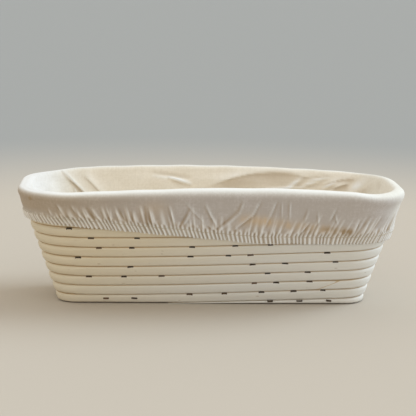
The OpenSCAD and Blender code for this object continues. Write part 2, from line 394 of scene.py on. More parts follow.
def noise(tree, vector, scale, detail=2.0, rough=0.5):
    node = addNode(tree, "ShaderNodeTexNoise", {"Scale": scale, "Detail": detail, "Roughness": rough})
    tree.links.new(vector, node.inputs["Vector"])
    return node.outputs[0]


def stretchedNoise(tree, vector, scale, *detail):
    # noise with its own scale along each axis
    node = addNode(tree, "ShaderNodeMapping", {"Scale": scale})
    tree.links.new(vector, node.inputs["Vector"])
    return noise(tree, node.outputs["Vector"], 1.0, *detail)


def axesOf(tree, vector):
    node = addNode(tree, "ShaderNodeSeparateXYZ")
    tree.links.new(vector, node.inputs[0])
    return node.outputs


def objectPlace(tree):
    return addNode(tree, "ShaderNodeTexCoord").outputs["Object"]


def attributeValue(tree, name):
    return addNode(tree, "ShaderNodeAttribute", attribute_name=name).outputs["Fac"]


def newGroup(name, inputs, outputs):
    group = bpy.data.node_groups.new(name, "ShaderNodeTree")
    for key, kind in inputs.items():
        group.interface.new_socket(key, in_out="INPUT", socket_type=kind)
    for key in outputs:
        group.interface.new_socket(key, in_out="OUTPUT", socket_type="NodeSocketFloat")
    return group, group.nodes.new("NodeGroupInput"), group.nodes.new("NodeGroupOutput")


def useGroup(tree, group, values=None):
    # the group, placed on the piece's own UV map
    node = addNode(tree, "ShaderNodeGroup", node_tree=group)
    tree.links.new(addNode(tree, "ShaderNodeUVMap", uv_map="UVMap").outputs["UV"], node.inputs["Vector"])
    for key, value in (values or {}).items():
        node.inputs[key].default_value = value
    return node


def newMaterial(name, values):
    material = bpy.data.materials.new(name)
    material.use_nodes = True
    tree = material.node_tree
    shader = tree.nodes["Principled BSDF"]
    for key, value in values.items():
        shader.inputs[key].default_value = value
    return material, tree, shader


def addBump(tree, shader, height, strength, distance):
    bump = addNode(tree, "ShaderNodeBump", {"Strength": strength, "Distance": distance})
    tree.links.new(height, bump.inputs["Height"])
    tree.links.new(bump.outputs["Normal"], shader.inputs["Normal"])


# Rattan grain: long fine streaks, small flecks and a fibre relief, on a map of length and girth in metres
grainForm = {
    "fine": (30, 2600, 1),
    "broad": (7, 700, 1),
    "flecks": (160, 900, 1),
    "streakEdges": (0.3, 0.7),
    "fleckEdges": (0.70, 0.80),
}


def makeGrainGroup(form):
    outputs = ["Streak", "Fleck", "Height"]
    group, start, end = newGroup("rattanGrain", {"Vector": "NodeSocketVector"}, outputs)
    vector = start.outputs["Vector"]
    fine = stretchedNoise(group, vector, form["fine"], 3.0, 0.6)
    broad = stretchedNoise(group, vector, form["broad"], 2.0)
    flecks = stretchedNoise(group, vector, form["flecks"], 1.0)
    streak = weighted(group, (fine, 0.5), (broad, 0.5))
    group.links.new(ramp(group, streak, *form["streakEdges"]), end.inputs["Streak"])
    group.links.new(ramp(group, flecks, *form["fleckEdges"]), end.inputs["Fleck"])
    group.links.new(streak, end.inputs["Height"])
    return group


# Plain weave: bumps that alternate over and under, and thicker threads both ways
weaveForm = {"warp": (40, 1100, 1), "weft": (1100, 40, 1), "slubHeight": 0.8, "slubEdges": (0.3, 0.7)}


def makeWeaveGroup(form):
    inputs = {"Vector": "NodeSocketVector", "Threads": "NodeSocketFloat"}
    group, start, end = newGroup("plainWeave", inputs, ["Height", "Slub"])
    vector = start.outputs["Vector"]
    parts = axesOf(group, vector)
    waves = []
    for axis in ("X", "Y"):
        turns = sumUp(group, "MULTIPLY", parts[axis], start.outputs["Threads"])
        waves.append(sumUp(group, "SINE", sumUp(group, "MULTIPLY", turns, math.pi)))
    over = sumUp(group, "MULTIPLY_ADD", sumUp(group, "MULTIPLY", *waves), 0.5, 0.5)
    warp, weft = (stretchedNoise(group, vector, form[way], 1.0) for way in ("warp", "weft"))
    slub = weighted(group, (warp, 0.5), (weft, 0.5))
    group.links.new(weighted(group, (over, 1.0), (slub, form["slubHeight"])), end.inputs["Height"])
    group.links.new(ramp(group, slub, *form["slubEdges"]), end.inputs["Slub"])
    return group


grainGroup = makeGrainGroup(grainForm)
weaveGroup = makeWeaveGroup(weaveForm)

caneFinish = {
    "pale": (0.800, 0.765, 0.670, 1),
    "straw": (0.740, 0.670, 0.535, 1),
    "streakShare": 0.45,
    "toneShare": 0.6,
    "fleck": (0.330, 0.215, 0.110, 1),
    "fleckShare": 0.35,
    "seamDirtAndShade": (0.610, 0.425, 0.210, 1),
    "seamShare": 0.85,
    "seamEdges": (0.86, 0.98),
    "warmShadeTint": (1.0, 0.95, 0.85, 1),
    "coolLightTint": (1.0, 1.05, 1.17, 1),
    "driftSlope": -1.3,
    "lightDrift": (-0.169, 0.021),
    "roughness": (0.45, 0.65),
    "bump": (0.35, 0.0003),
}


def makeCaneMaterial(name, finish):
    material, tree, shader = newMaterial(name, {"Specular IOR Level": 0.35})
    grain = useGroup(tree, grainGroup).outputs
    streaks = weighted(tree, (attributeValue(tree, "tone"), finish["toneShare"]),
                       (grain["Streak"], finish["streakShare"]))
    colour = blendColour(tree, streaks, finish["pale"], finish["straw"])
    flecks = weighted(tree, (grain["Fleck"], finish["fleckShare"]))
    colour = blendColour(tree, flecks, colour, finish["fleck"])
    # seam tint on the grooves between courses and on cut ends: partly dirt in the joints, partly painted
    # shade in the grooves
    seamDirtAndShade = ramp(tree, attributeValue(tree, "groove"), *finish["seamEdges"])
    colour = blendColour(tree, weighted(tree, (seamDirtAndShade, finish["seamShare"])), colour, finish["seamDirtAndShade"])
    # painted light colour: yellower at the left and near the rim for warm bounce light, cooler and whiter
    # towards the right for the cool window light
    place = axesOf(tree, objectPlace(tree))
    lightDrift = weighted(tree, (place["X"], 1.0), (place["Z"], finish["driftSlope"]))
    tint = blendColour(tree, ramp(tree, lightDrift, *finish["lightDrift"]), finish["warmShadeTint"], finish["coolLightTint"])
    tree.links.new(blendColour(tree, 1.0, colour, tint, "MULTIPLY"), shader.inputs["Base Color"])
    low, high = finish["roughness"]
    roughness = sumUp(tree, "MULTIPLY_ADD", grain["Streak"], high - low, low)
    tree.links.new(roughness, shader.inputs["Roughness"])
    addBump(tree, shader, grain["Height"], *finish["bump"])
    return material


caneMaterial = makeCaneMaterial("peeledRattan", caneFinish)
rodMaterial = makeCaneMaterial("peeledRattanFloor", {**caneFinish, "pale": (0.72, 0.64, 0.49, 1)})

# Coil of canes: each end is a turn and a station, and the lengths meet there in scarf cuts
caneCoil = {
    "ends": [(0, 0.34), (2, 0.93), (4, 4.59), (6, 4.25), (8, 4.58), (11, 1.5)],
    "scarfLength": 0.018,
    "spliceGap": 0.0001,
    "scarfFade": 0.034,
    "proudEnd": 0.00035,
    "cutEdge": 0.0012,
    "turnSteps": [100, 16, 26, 16, 100, 16, 26, 16],
    "endRoom": 0.004,
    "sides": 28,
    "straightSquareness": 5.0,
    "cornerSquareness": 3.8,
    "leftSquareness": 2.8,
    "footSquareness": 3.4,
    "cornerBlend": 0.06,
    "leftStart": 5,
    "footClear": 0.0010,
    "bend": 0.00012,
    "bendLengths": (0.05, 0.30),
    "thin": 0.012,
    "thinLengths": (0.04, 0.2),
    "tone": (0.45, 0.35),
    "toneLengths": (0.25, 1.1),
    "topFade": 0.1,
}


def coilPlaces(number, coil):
    # turn and station of every ring of one length of cane
    first, last = (8 * lap + station for lap, station in coil["ends"][number - 1: number + 1])
    oneTurn = np.concatenate([i + np.arange(n) / n for i, n in enumerate(coil["turnSteps"])])
    places = (8 * np.arange(courses + 1)[:, None] + oneTurn).ravel()
    places = places[(places > first + coil["endRoom"]) & (places < last - coil["endRoom"])]
    places = np.concatenate([[first], places, [last]])
    lap = np.floor(places / 8)
    return lap, places - 8 * lap


def caneSquareness(lap, station, coil):
    # the section is rounder where the cane is bent round a corner, most at the left, and at the foot
    soft = coil["cornerBlend"]
    place = station % 2
    bent = np.maximum(between(place, 1 - soft, 2 + soft, 2 * soft), smooth((soft - place) / (2 * soft)))
    left = np.maximum(between(station, coil["leftStart"] - soft, 8 + soft, 2 * soft),
                      smooth((soft - station) / (2 * soft)))
    square = mix(coil["straightSquareness"], coil["cornerSquareness"], bent)
    square = mix(square, coil["leftSquareness"], left)
    return mix(coil["footSquareness"], square, smooth(level(lap, station)))


def caneLength(number, coil):
    # a pressed section carried up the coil: its middle, plus its width outwards and its thickness up the wall
    lap, station = coilPlaces(number, coil)
    thick = thickness(lap, station)
    missing = (caneDiameter - thick) / 2
    lean = np.where(lap == 0, flare * thick / caneDiameter, flare)
    # the wedge at the rim narrows as the top of a superellipse does
    narrow = (1 - np.abs(1 - thick / caneDiameter) ** squareness) ** (1 / squareness)
    halfWidth = caneRadius * np.where(lap == courses, narrow, 1.0)
    out = wallOut(station, lean)
    up = wallUp(station, lean)
    shift = np.where((lap == 0)[:, None], -upright, np.where((lap == courses)[:, None], up, 0.0))
    centre = courseCentre(lap, station) + scaled(shift, missing)
    length = lengthAlong(centre)
    fromEnd = length[-1] - length
    # slow bends and a varying thickness, as in cut cane
    seed = 10 * number
    centre = centre + scaled(out, coil["bend"] * ripple(length, seed, 6, *coil["bendLengths"]))
    slim = 1 - coil["thin"] * (0.5 + 0.5 * ripple(length, seed + 1, 6, *coil["thinLengths"])).clip(0, 1)
    # a scarf cut slants the last rings, and the outer end stands a little proud
    startSkew = np.clip(1 - length / coil["scarfFade"], 0, 1) * (number > 1)
    endSkew = np.clip(1 - fromEnd / coil["scarfFade"], 0, 1) * (number < len(coil["ends"]) - 1)
    skew = coil["scarfLength"] / 2 * (startSkew + endSkew)
    gap = coil["spliceGap"] / 2 * (startSkew - endSkew)
    centre = centre + scaled(out, coil["proudEnd"] * startSkew**2)
    angle = roundAngles(coil["sides"])
    px, py = pressed(angle[None, :], caneSquareness(lap, station, coil)[:, None])
    points = centre[:, None] + scaled(out[:, None], (halfWidth * slim)[:, None] * px)
    points = points + scaled(up[:, None], thick[:, None] / 2 * py)
    points = points + scaled(onward(station)[:, None], skew[:, None] * py + gap[:, None])
    foot = np.minimum(coil["footClear"], 0.5 * thick)
    points[..., 2] = np.maximum(points[..., 2], foot[:, None])
    # the map is length and girth; a groove is where the section is highest or lowest, and at a cut
    girth = np.append(angle, fullTurn) * caneRadius
    uv = together((length + number)[:, None], girth)
    middle, sway = coil["tone"]
    tone = middle + sway * ripple(length, seed + 2, 5, *coil["toneLengths"])
    cut = np.maximum(smooth(1 - length / coil["cutEdge"]) * (startSkew > 0),
                     smooth(1 - fromEnd / coil["cutEdge"]) * (endSkew > 0))
    # no dark seam tint, dirt and painted shade, on the open top of the last turn
    onTop = smooth((8 * (lap - topCourse) + station - coil["ends"][-1][1]) / coil["topFade"])
    groove = np.maximum(np.abs(py), cut[:, None]) * (1 - onTop[:, None] * (py > 0))
    piece = gridObject("wallCane%d" % number, points, wrapCols=True, capEnds=True, uv=uv,
                       values={"groove": groove, "tone": tone[:, None].clip(0, 1)})
    return finishPiece(piece, "basket", caneMaterial, "wall_cane_%d" % number)


wallCanes = [caneLength(number, caneCoil) for number in range(1, len(caneCoil["ends"]))]
print("canes coiled:", len(wallCanes))

# Floor rods: round canes with sanded undersides and eased ends
floorRods = {
    "rings": 90,
    "sides": 28,
    "ease": 0.0008,
    "tone": (0.5, 0.3),
    "toneLengths": (0.2, 0.8),
    "seed": 320,
}


def rodMiddle(number):
    return (number - (rodCount + 1) / 2) * rodPitch


def floorRod(number, rods):
    # circles along X, with smaller steps towards the ends; an end's edge is eased by a quarter circle
    y = rodMiddle(number)
    inner = ringCorner - sectionReach - basketForm["rodClear"]
    past = max(0, abs(y) + rodRadius - (ringY - ringCorner))
    half = ringX - ringCorner + math.sqrt(max(0, inner**2 - past**2))
    x = half * np.sin(np.linspace(-quarterTurn, quarterTurn, rods["rings"]))[:, None]
    ease = rods["ease"]
    inEdge = np.clip(1 - (half - np.abs(x)) / ease, 0, 1)
    radius = rodRadius - ease + ease * np.sqrt(1 - inEdge**2)
    angle = roundAngles(rods["sides"])[::-1]
    z = rodRadius - basketForm["footFlat"] + radius * np.sin(angle)
    points = together(x, y + radius * np.cos(angle), np.maximum(z, 0))
    uv = together(x + number, np.arange(rods["sides"] + 1) * fullTurn / rods["sides"] * rodRadius)
    middle, sway = rods["tone"]
    tone = middle + sway * ripple(x, rods["seed"] + number, 5, *rods["toneLengths"])
    # the rods' sides, where they touch their neighbours, get the same seam tint: dirt and painted shade
    piece = gridObject("floorRod%d" % number, points, wrapCols=True, capEnds=True, uv=uv,
                       values={"groove": np.abs(np.cos(angle)), "tone": tone.clip(0, 1)})
    return finishPiece(piece, "basket", rodMaterial, "floor_rod_%d" % number)


rodPieces = [floorRod(number, floorRods) for number in range(1, rodCount + 1)]
print("floor rods laid:", len(rodPieces))

# Staples: flat wire bent to a U and driven into the canes; sizes vary about those of the part's source
stapleForm = {
    "crown": 0.0044,
    "wireWidth": 0.0011,
    "wireThick": 0.0006,
    "leg": 0.010,
    "bend": 0.0003,
    "edge": 0.36,
    "tilt": 0.05,
    "widths": (0.9, 1.2),
    "thicks": (1.0, 2.0),
    "sizes": (0.85, 1.08),
    "sharp": math.radians(50),
}
stapleFinish = {
    "dark": (0.020, 0.016, 0.013, 1),
    "rust": (0.210, 0.115, 0.055, 1),
    "rustShare": 0.7,
    "spotShare": 0.3,
    "spots": (900.0, 3.0, 0.6),
    "spotEdges": (0.35, 0.65),
    "roughness": (0.42, 0.3),
    "bump": (0.3, 0.0001),
}


def makeStapleMaterial(finish):
    material, tree, shader = newMaterial("darkWire", {"Metallic": 0.3})
    spots = ramp(tree, noise(tree, objectPlace(tree), *finish["spots"]), *finish["spotEdges"])
    rust = weighted(tree, (spots, finish["spotShare"]), (attributeValue(tree, "rusted"), finish["rustShare"]))
    tree.links.new(blendColour(tree, rust, finish["dark"], finish["rust"]), shader.inputs["Base Color"])
    low, gain = finish["roughness"]
    tree.links.new(sumUp(tree, "MULTIPLY_ADD", rust, gain, low), shader.inputs["Roughness"])
    addBump(tree, shader, rust, *finish["bump"])
    return material


stapleMaterial = makeStapleMaterial(stapleFinish)


def stapleShape(form):
    # path: up one leg, round a bend, along the crown, round a bend and down, as crown and leg lengths
    half = form["crown"] / 2 - form["wireThick"] / 2
    bend = form["bend"]
    turn = np.linspace(0, quarterTurn, 3)
    left = np.stack([-half + bend - bend * np.cos(turn), bend - bend * np.sin(turn)], -1)
    right = left[::-1] * np.array([-1, 1])
    path = np.concatenate([[[-half, 1.0]], left, right, [[half, 1.0]]])
    way = np.radians([0, 0, 45, 90, 90, 135, 180, 180])
    side = np.stack([-np.cos(way), -np.sin(way)], -1)
    # the wire's section is a square of size 1 with cut edges
    edge = form["edge"]
    quarter = np.array([[-0.5, -edge], [-edge, -0.5]])
    halfSection = np.concatenate([quarter, quarter[::-1] * np.array([-1, 1])])
    return path, side, np.concatenate([halfSection, -halfSection])


def stapleGroup(name, seats, crownWays, legWays, legs, node, seed):
    # every staple is the path times its crown and leg ways, with the section set square to the path
    path, side, section = stapleShape(stapleForm)
    count = len(seats)
    rng = np.random.default_rng(seed)
    tilt = rng.normal(0, stapleForm["tilt"], count)
    across = np.cross(crownWays, legWays)
    crownWays = scaled(crownWays, np.cos(tilt)) + scaled(across, np.sin(tilt))
    across = np.cross(crownWays, legWays)
    width = stapleForm["wireWidth"] * rng.uniform(*stapleForm["widths"], count)
    thick = stapleForm["wireThick"] * rng.uniform(*stapleForm["thicks"], count)
    size = rng.uniform(*stapleForm["sizes"], count)
    rusted = rng.uniform(0, 1, count) ** 3
    along = path[:, 0] * size[:, None]
    deep = np.where(path[:, 1] > 0.5, legs[:, None], path[:, 1])
    crown = crownWays[:, None]
    leg = legWays[:, None]
    middle = seats[:, None] + scaled(crown, along) + scaled(leg, deep)
    sideWay = scaled(crown, side[:, 0]) + scaled(leg, side[:, 1])
    points = middle[:, :, None] + scaled(sideWay[:, :, None], section[:, 1] * thick[:, None, None])
    points = points + scaled(across[:, None, None], section[:, 0] * width[:, None, None])
    rows, cols = points.shape[1:3]
    index = np.arange(rows * cols).reshape(rows, cols)
    wide = np.concatenate([index, index[:, :1]], 1)
    quads = faceCorners(wide)[..., [0, 3, 2, 1]].ravel()
    tips = np.concatenate([index[0, ::-1], index[-1]])
    first = np.arange(count)[:, None] * rows * cols
    corners = np.concatenate([(first + quads).ravel(), (first + tips).ravel()])
    starts = np.arange(0, count * len(quads), 4)
    starts = np.concatenate([starts, np.arange(count * len(quads), len(corners), cols)])
    piece = meshObject(name, points.reshape(-1, 3), corners, starts)
    piece.data.set_sharp_from_angle(angle=stapleForm["sharp"])
    setValues(piece.data, {"rusted": np.repeat(rusted, rows * cols)})
    return finishPiece(piece, "basket", stapleMaterial, node)


# Wall staples: X from the middle along the front, one list for each turn, and a rule on the other sides
wallStaplePlaces = {
    "front": [
        [], [-17, 10, 39, 64, 87], [33, 50, 76], [-95, -68, -39, 43, 74], [-63, 31, 56, 95],
        [-103, -17, 12, 29, 88], [-87, -62, -16, 17, 44], [-93, -58, -6, 40, 79], [-109, -60, -18, 33, 88],
        [-82, -35, 12, 55, 97], [-93, -48, 4, 51, 90],
    ],
    "coilEnd": [-95, -50, -5],
    "millimetre": 0.001,
    "stagger": {"right": 0.61, "back": 0.43, "left": 0.29},
    "endPart": (0.2, 0.6),
    "backPart": (0.15, 0.7),
    "backCount": 5,
    "seat": (0.82, 0.93),
    "legLean": math.radians(20),
    "tipRoom": 0.003,
    "sink": 0.00005,
    "coverSink": 0.0008,
}


def frontStation(x, lap):
    # a place past the left end of the straight lies on the corner before it, at a station below 0
    offset = spread * max(0, lap - 0.5)
    half = plan(np.array(1.0), offset)[0]
    past = np.clip((-x - half) / cornerRadius(offset), 0, 1)
    return float(np.clip((x + half) / (2 * half), 0, 1) - np.arcsin(past) / quarterTurn)


def wallStapleStations(lap, places):
    # the front's list, then a place at each end and even places at the back, shifted from turn to turn
    front = places["coilEnd"] if lap == courses else places["front"][lap]
    found = [frontStation(x * places["millimetre"], lap) for x in front]
    if lap == courses:
        return found
    shift = {side: factor * lap % 1 for side, factor in places["stagger"].items()}
    start, room = places["endPart"]
    found += [2 + start + room * shift["right"], 6 + start + room * shift["left"]]
    start, room = places["backPart"]
    count = places["backCount"]
    return found + [4 + (i + start + room * shift["back"]) / count for i in range(count)]


def makeWallStaples(places):
    # on the upper shoulder of a course, with the legs leaning in and down into the course below
    spots = [(lap, station) for lap in range(1, courses + 1) for station in wallStapleStations(lap, places)]
    lap, station = np.array(spots, float).T
    lean = np.full_like(station, flare)
    out = wallOut(station, lean)
    up = wallUp(station, lean)
    px, py = places["seat"]
    centre = courseCentre(lap, station)
    covered = centre[:, 2] + caneRadius > hemHeight(station, hemLine)
    seat = caneRadius - np.where(covered, places["coverSink"], places["sink"])
    seats = centre + scaled(out, seat * px) + scaled(up, seat * py)
    legWays = -out * math.sin(places["legLean"]) - up * math.cos(places["legLean"])
    legs = np.minimum(stapleForm["leg"], (seats[:, 2] - places["tipRoom"]) / -legWays[:, 2])
    stapleGroup("wallStaples", seats, onward(station), legWays, legs, "wall_staples", seed=41)


# Ring staples: level through the bottom course into the floor rods
ringStaplePlaces = {
    "front": [-0.082, -0.060, 0.046, 0.069, 0.092],
    "back": [-0.080, -0.040, 0.0, 0.040, 0.080],
    "leg": 0.011,
    "sink": 0.00005,
    "wedgeSeat": 0.7,
}


def makeRingStaples(places):
    # at the left of the front they are in turn 1, because the wedge of turn 0 is still thin there
    straightX = ringX - ringCorner
    straightY = ringY - ringCorner
    spots = [(1 if x < 0 else 0, (x + straightX) / (2 * straightX)) for x in places["front"]]
    spots += [(0, 4 + (straightX - x) / (2 * straightX)) for x in places["back"]]
    for number in range(1, rodCount + 1):
        y = rodMiddle(number)
        if abs(y) < straightY:
            spots += [(0, 2 + (y + straightY) / (2 * straightY)), (0, 6 + (straightY - y) / (2 * straightY))]
    lap, station = np.array(spots, float).T
    missing = (caneDiameter - thickness(lap, station)) / 2
    seats = courseCentre(lap, station) + outward(station) * (sectionReach - places["sink"])
    seats[:, 2] -= np.where(lap == 0, places["wedgeSeat"] * missing, 0)
    legs = np.full_like(station, places["leg"])
    stapleGroup("ringStaples", seats, onward(station), -outward(station), legs, "ring_staples", seed=42)


# Floor staples: in the grooves between the rods, driven from below
floorStaplePlaces = {
    "along": [-0.080, -0.027, 0.027, 0.080],
    "shift": 0.009,
    "leg": 0.0056,
    "shoulder": math.radians(45),
}


def makeFloorStaples(places):
    # from the shoulder of one rod towards the middle of the next
    low = rodRadius * math.sin(places["shoulder"])
    reach = rodRadius * math.cos(places["shoulder"])
    middle = rodRadius - basketForm["footFlat"]
    spots = []
    for number in range(1, rodCount):
        y = rodMiddle(number)
        shift = places["shift"] if number % 2 == 0 else -places["shift"]
        spots += [(x + shift, y + reach, middle - low, y + rodPitch) for x in places["along"]]
    x, y, z, nextY = np.array(spots).T
    seats = together(x, y, z)
    legWays = together(x, nextY, middle) - seats
    legWays /= np.linalg.norm(legWays, axis=1)[:, None]
    crownWays = together(1.0, 0.0, 0 * x)
    legs = np.full_like(x, places["leg"])
    stapleGroup("floorStaples", seats, crownWays, legWays, legs, "floor_staples", seed=43)


makeWallStaples(wallStaplePlaces)
makeRingStaples(ringStaplePlaces)
makeFloorStaples(floorStaplePlaces)
print("staples driven: wall, ring and floor")

# Liner: one surface from the floor seam up the inside, over the rim and down to the gathered hem
linerForm = {
    "face": 0.00525,
    "skirtFace": 0.0048,
    "floorTop": 0.0088,
    "thick": 0.0004,
    "rollSquareness": 2.5,
    "rollPuff": 0.0006,
    "rollRipple": (0.0002, 0.02, 0.09),
    "rollBead": (0.0001, 0.0002),
    "rollTilt": (1.0, 0.6),
    "rollRaise": (0.0012, 0.0),
    "rollEnd": (0.105, 0.030),
    "beadDrop": 0.0050,
    "beadLift": (0.70, 0.016),
    "crownNear": (0.030, 0.0048, (0.150, 0.100), (1.2, 0.8)),
    "crownFar": (-0.015, 0.0046, (0.130, 0.135), (1.0, 1.0)),
    "crownTurn": math.radians(70),
    "crownFade": 0.4,
    "hemHeight": 0.0075,
    "hemBlend": 0.010,
    "hemStand": 0.0007,
    "startStation": 6.5,
    "rimSteps": 8000,
    "columns": 1700,
    "insideStep": 2,
}


def beside(out, up):
    # place beside the wall: out from the middle of the canes and up along the wall, as offset and height
    return out * cosFlare + up * sinFlare, caneRadius - out * sinFlare + up * cosFlare


def upToHeight(out, z):
    # the way up along the wall to a height
    return (z - caneRadius + out * sinFlare) / cosFlare


def clothPoints(station, out, up, lift):
    offset, z = beside(out, up)
    x, y = plan(station, offset)
    return np.stack([x, y, z + lift], -1)


rimStations = linerForm["startStation"] + np.linspace(0, 8, linerForm["rimSteps"] + 1)
rimLengths = lengthAlong(together(*plan(rimStations % 8, rimOffset)))
rimLength = rimLengths[-1]


def stationAt(share):
    # station at a share of the rim's length, from the middle of the left end
    return np.interp(share * rimLength, rimLengths, rimStations) % 8


def crownRise(station, form):
    # a cosine's power along each long side: a peak's X and height, and a reach and a power either way
    x, y = plan(station, rimOffset)
    place = station % 4
    past = np.where(place <= 1, 0, np.minimum(place - 1, 4 - place))
    rises = []
    for peak, height, reach, power in (form["crownNear"], form["crownFar"]):
        left = x < peak
        bow = np.cos(np.clip((x - peak) / np.where(left, *reach), -1, 1) * quarterTurn).clip(0, 1)
        rises.append(height * bow ** np.where(left, *power))
    return np.where(y < 0, *rises) * smooth(1 - past / form["crownFade"])


def rollEdge(station, form):
    # share of the right end, then bead, tilt and raise of the roll's outside, and its outermost place
    x = plan(station, rimOffset)[0]
    atEnd = rising(x, *form["rollEnd"])
    bead = mix(*form["rollBead"], atEnd)
    tilt = flare * mix(*form["rollTilt"], atEnd)
    raised = mix(*form["rollRaise"], atEnd)
    radius = form["face"] + bead
    return atEnd, bead, tilt, raised, radius * np.cos(tilt), wallTop + radius * np.sin(tilt) + raised


def hemUp(station, form):
    return upToHeight(form["face"], hemHeight(station, hemLine))


# A crease is a line from one X and Z to another, a height that is below 0 for a groove, and a width
creaseForm = {"endReach": 1.6, "endShare": 0.45, "trough": 0.7, "troughPlace": 1.5, "troughWidth": 1.1}


def lineFrame(x, z, line):
    # share along a line from (x0, z0) to (x1, z1), distance from it, and its length
    x0, z0, x1, z1 = line
    dx = x1 - x0
    dz = z1 - z0
    size = math.hypot(dx, dz)
    along = ((x - x0) * dx + (z - z0) * dz) / size**2
    across = ((x - x0) * dz - (z - z0) * dx) / size
    return along, across, size


def creaseField(x, z, lines, narrow=1.0):
    # each line is a ridge: a bell across, minus a trough on its lower side, lower towards its ends
    form = creaseForm
    total = np.zeros(np.broadcast(x, z).shape)
    for *line, height, width in lines:
        along, across, size = lineFrame(x, z, line)
        beyond = np.maximum(0, np.abs(along - 0.5) - 0.5) * size
        across = across / (width * narrow)
        taper = mix(form["endShare"], 1, np.sin(np.clip(along, 0, 1) * math.pi))
        taper = taper * bell(beyond / (form["endReach"] * width * narrow))
        trough = bell((across - form["troughPlace"]) / form["troughWidth"])
        total = total + height * taper * (bell(across) - form["trough"] * trough)
    return total


# Gathers of the skirt: narrow pleats that run up from the hem, each to its own height, and listed creases
skirtGathers = {
    "seed": 51,
    "pleats": 236,
    "uneven": 0.06,
    "unevenSeed": 50,
    "unevenWaves": (3, 48, 8),
    "depth": 0.0017,
    "narrow": (0.40, 0.26),
    "strengths": (0.65, 1.0),
    "middles": (0.42, 0.58),
    "shortReach": (0.0006, 0.0045),
    "longReach": (0.0070, 0.0190),
    "longShare": 0.36,
    "fadePower": 0.8,
    "edgePower": 0.5,
    "crestGain": 1.25,
    "upperShade": (0.45, 0.004),
    "crinkles": {"seed": 54, "pleats": 118, "depth": 0.0013, "narrow": (0.28, 0.17),
                 "shortReach": (0.0030, 0.0070), "longReach": (0.0080, 0.0180), "longShare": 0.55,
                 "start": 0.0020, "shade": 0.8},
    "leftEnd": -0.135,
    "leftReach": (0.14, 0.045),
    "leftHem": (0.70, 0.060),
    "leanPlaces": [-0.150, -0.110, -0.040, 0.030, 0.075, 0.112, 0.150],
    "hemLean": [-0.50, -0.62, -0.45, -0.22, -0.05, 0.42, 0.50],
    "foldLean": [-0.35, -0.48, -0.25, 0.15, 0.45, 0.50, 0.40],
    "stitchHeight": 0.0058,
    "stitchWidth": 0.0007,
    "stitchPull": 0.10,
    "scallop": (0.00045, 0.003),
    "topFade": (0.003, 0.008),
    "softDepth": 0.0003,
    "softSize": 0.020,
    "softSeed": 53,
    "pressIn": 0.0003,
    "creaseWidth": 0.62,
    "creaseShade": 650,
    "creaseTop": (0.0015, 0.005),
    "creaseHem": (0.5, 0.7),
    "creases": [
        (-0.1240, 0.0780, -0.1215, 0.0735, 0.0010, 0.0014),
        (-0.1179, 0.0828, -0.1103, 0.0722, 0.0013, 0.0016),
        (-0.1073, 0.0825, -0.1043, 0.0775, 0.0008, 0.0013),
        (-0.1012, 0.0755, -0.0980, 0.0705, 0.0011, 0.0014),
        (-0.0959, 0.0800, -0.0906, 0.0717, -0.0014, 0.0016),
        (-0.0906, 0.0785, -0.0853, 0.0700, 0.0014, 0.0015),
        (-0.0784, 0.0782, -0.0767, 0.0715, 0.0010, 0.0014),
        (-0.0716, 0.0778, -0.0663, 0.0690, -0.0014, 0.0016),
        (-0.0609, 0.0750, -0.0598, 0.0690, 0.0010, 0.0014),
        (-0.0526, 0.0795, -0.0503, 0.0670, -0.0017, 0.0018),
        (-0.0473, 0.0750, -0.0457, 0.0695, 0.0012, 0.0020),
        (-0.0334, 0.0795, -0.0277, 0.0640, 0.0014, 0.0015),
        (-0.0258, 0.0655, -0.0192, 0.0777, -0.0015, 0.0016),
        (-0.0220, 0.0832, -0.0068, 0.0693, 0.0007, 0.0012),
        (-0.0059, 0.0805, 0.0032, 0.0655, 0.0013, 0.0015),
        (-0.0049, 0.0675, 0.0030, 0.0625, 0.0009, 0.0012),
        (0.0032, 0.0648, 0.0179, 0.0774, -0.0014, 0.0017),
        (0.0179, 0.0774, 0.0228, 0.0880, -0.0011, 0.0015),
        (0.0160, 0.0645, 0.0293, 0.0756, 0.0013, 0.0015),
        (0.0293, 0.0756, 0.0370, 0.0878, 0.0010, 0.0014),
        (0.0383, 0.0655, 0.0426, 0.0747, 0.0011, 0.0014),
        (0.0426, 0.0747, 0.0480, 0.0882, 0.0010, 0.0014),
        (0.0507, 0.0850, 0.0511, 0.0730, 0.0007, 0.0011),
        (0.0568, 0.0885, 0.0572, 0.0730, 0.0009, 0.0012),
        (0.0644, 0.0600, 0.0712, 0.0685, 0.0016, 0.0014),
        (0.0674, 0.0700, 0.0697, 0.0778, -0.0010, 0.0014),
        (0.0750, 0.0600, 0.0788, 0.0685, -0.0010, 0.0014),
        (0.0788, 0.0765, 0.0796, 0.0680, 0.0009, 0.0012),
        (0.0880, 0.0720, 0.0914, 0.0790, 0.0011, 0.0013),
        (0.0918, 0.0755, 0.0940, 0.0690, 0.0009, 0.0012),
        (0.1054, 0.0600, 0.1096, 0.0712, 0.0013, 0.0015),
        (0.1138, 0.0660, 0.1176, 0.0728, -0.0011, 0.0014),
        (0.1206, 0.0625, 0.1267, 0.0728, 0.0011, 0.0015),
    ],
}


def pleatField(where, uneven, above, x, gathers, pleats):
    # a pleat's ridge is a bell across it; each pleat has its own strength, side and reach above the hem
    rng = np.random.default_rng(pleats["seed"])
    count = pleats["pleats"]
    strength = rng.uniform(*gathers["strengths"], count)
    middle = rng.uniform(*gathers["middles"], count)
    reach = rng.uniform(*pleats["shortReach"], count)
    isLong = rng.uniform(0, 1, count) < pleats["longShare"]
    reach = np.where(isLong, rng.uniform(*pleats["longReach"], count), reach)
    phase = where * count + uneven
    index = np.floor(phase).astype(int) % count
    part = phase - np.floor(phase)
    short, soft = gathers["leftReach"]
    reach = reach[index] * mix(short, 1, rising(x, gathers["leftEnd"], soft))
    risen = (above / reach).clip(0, 1)
    shown = strength[index] * (1 - risen) ** gathers["fadePower"]
    ridge = bell((part - middle[index]) / mix(*pleats["narrow"], risen))
    return shown * ridge * np.sin(part * math.pi) ** gathers["edgePower"], shown


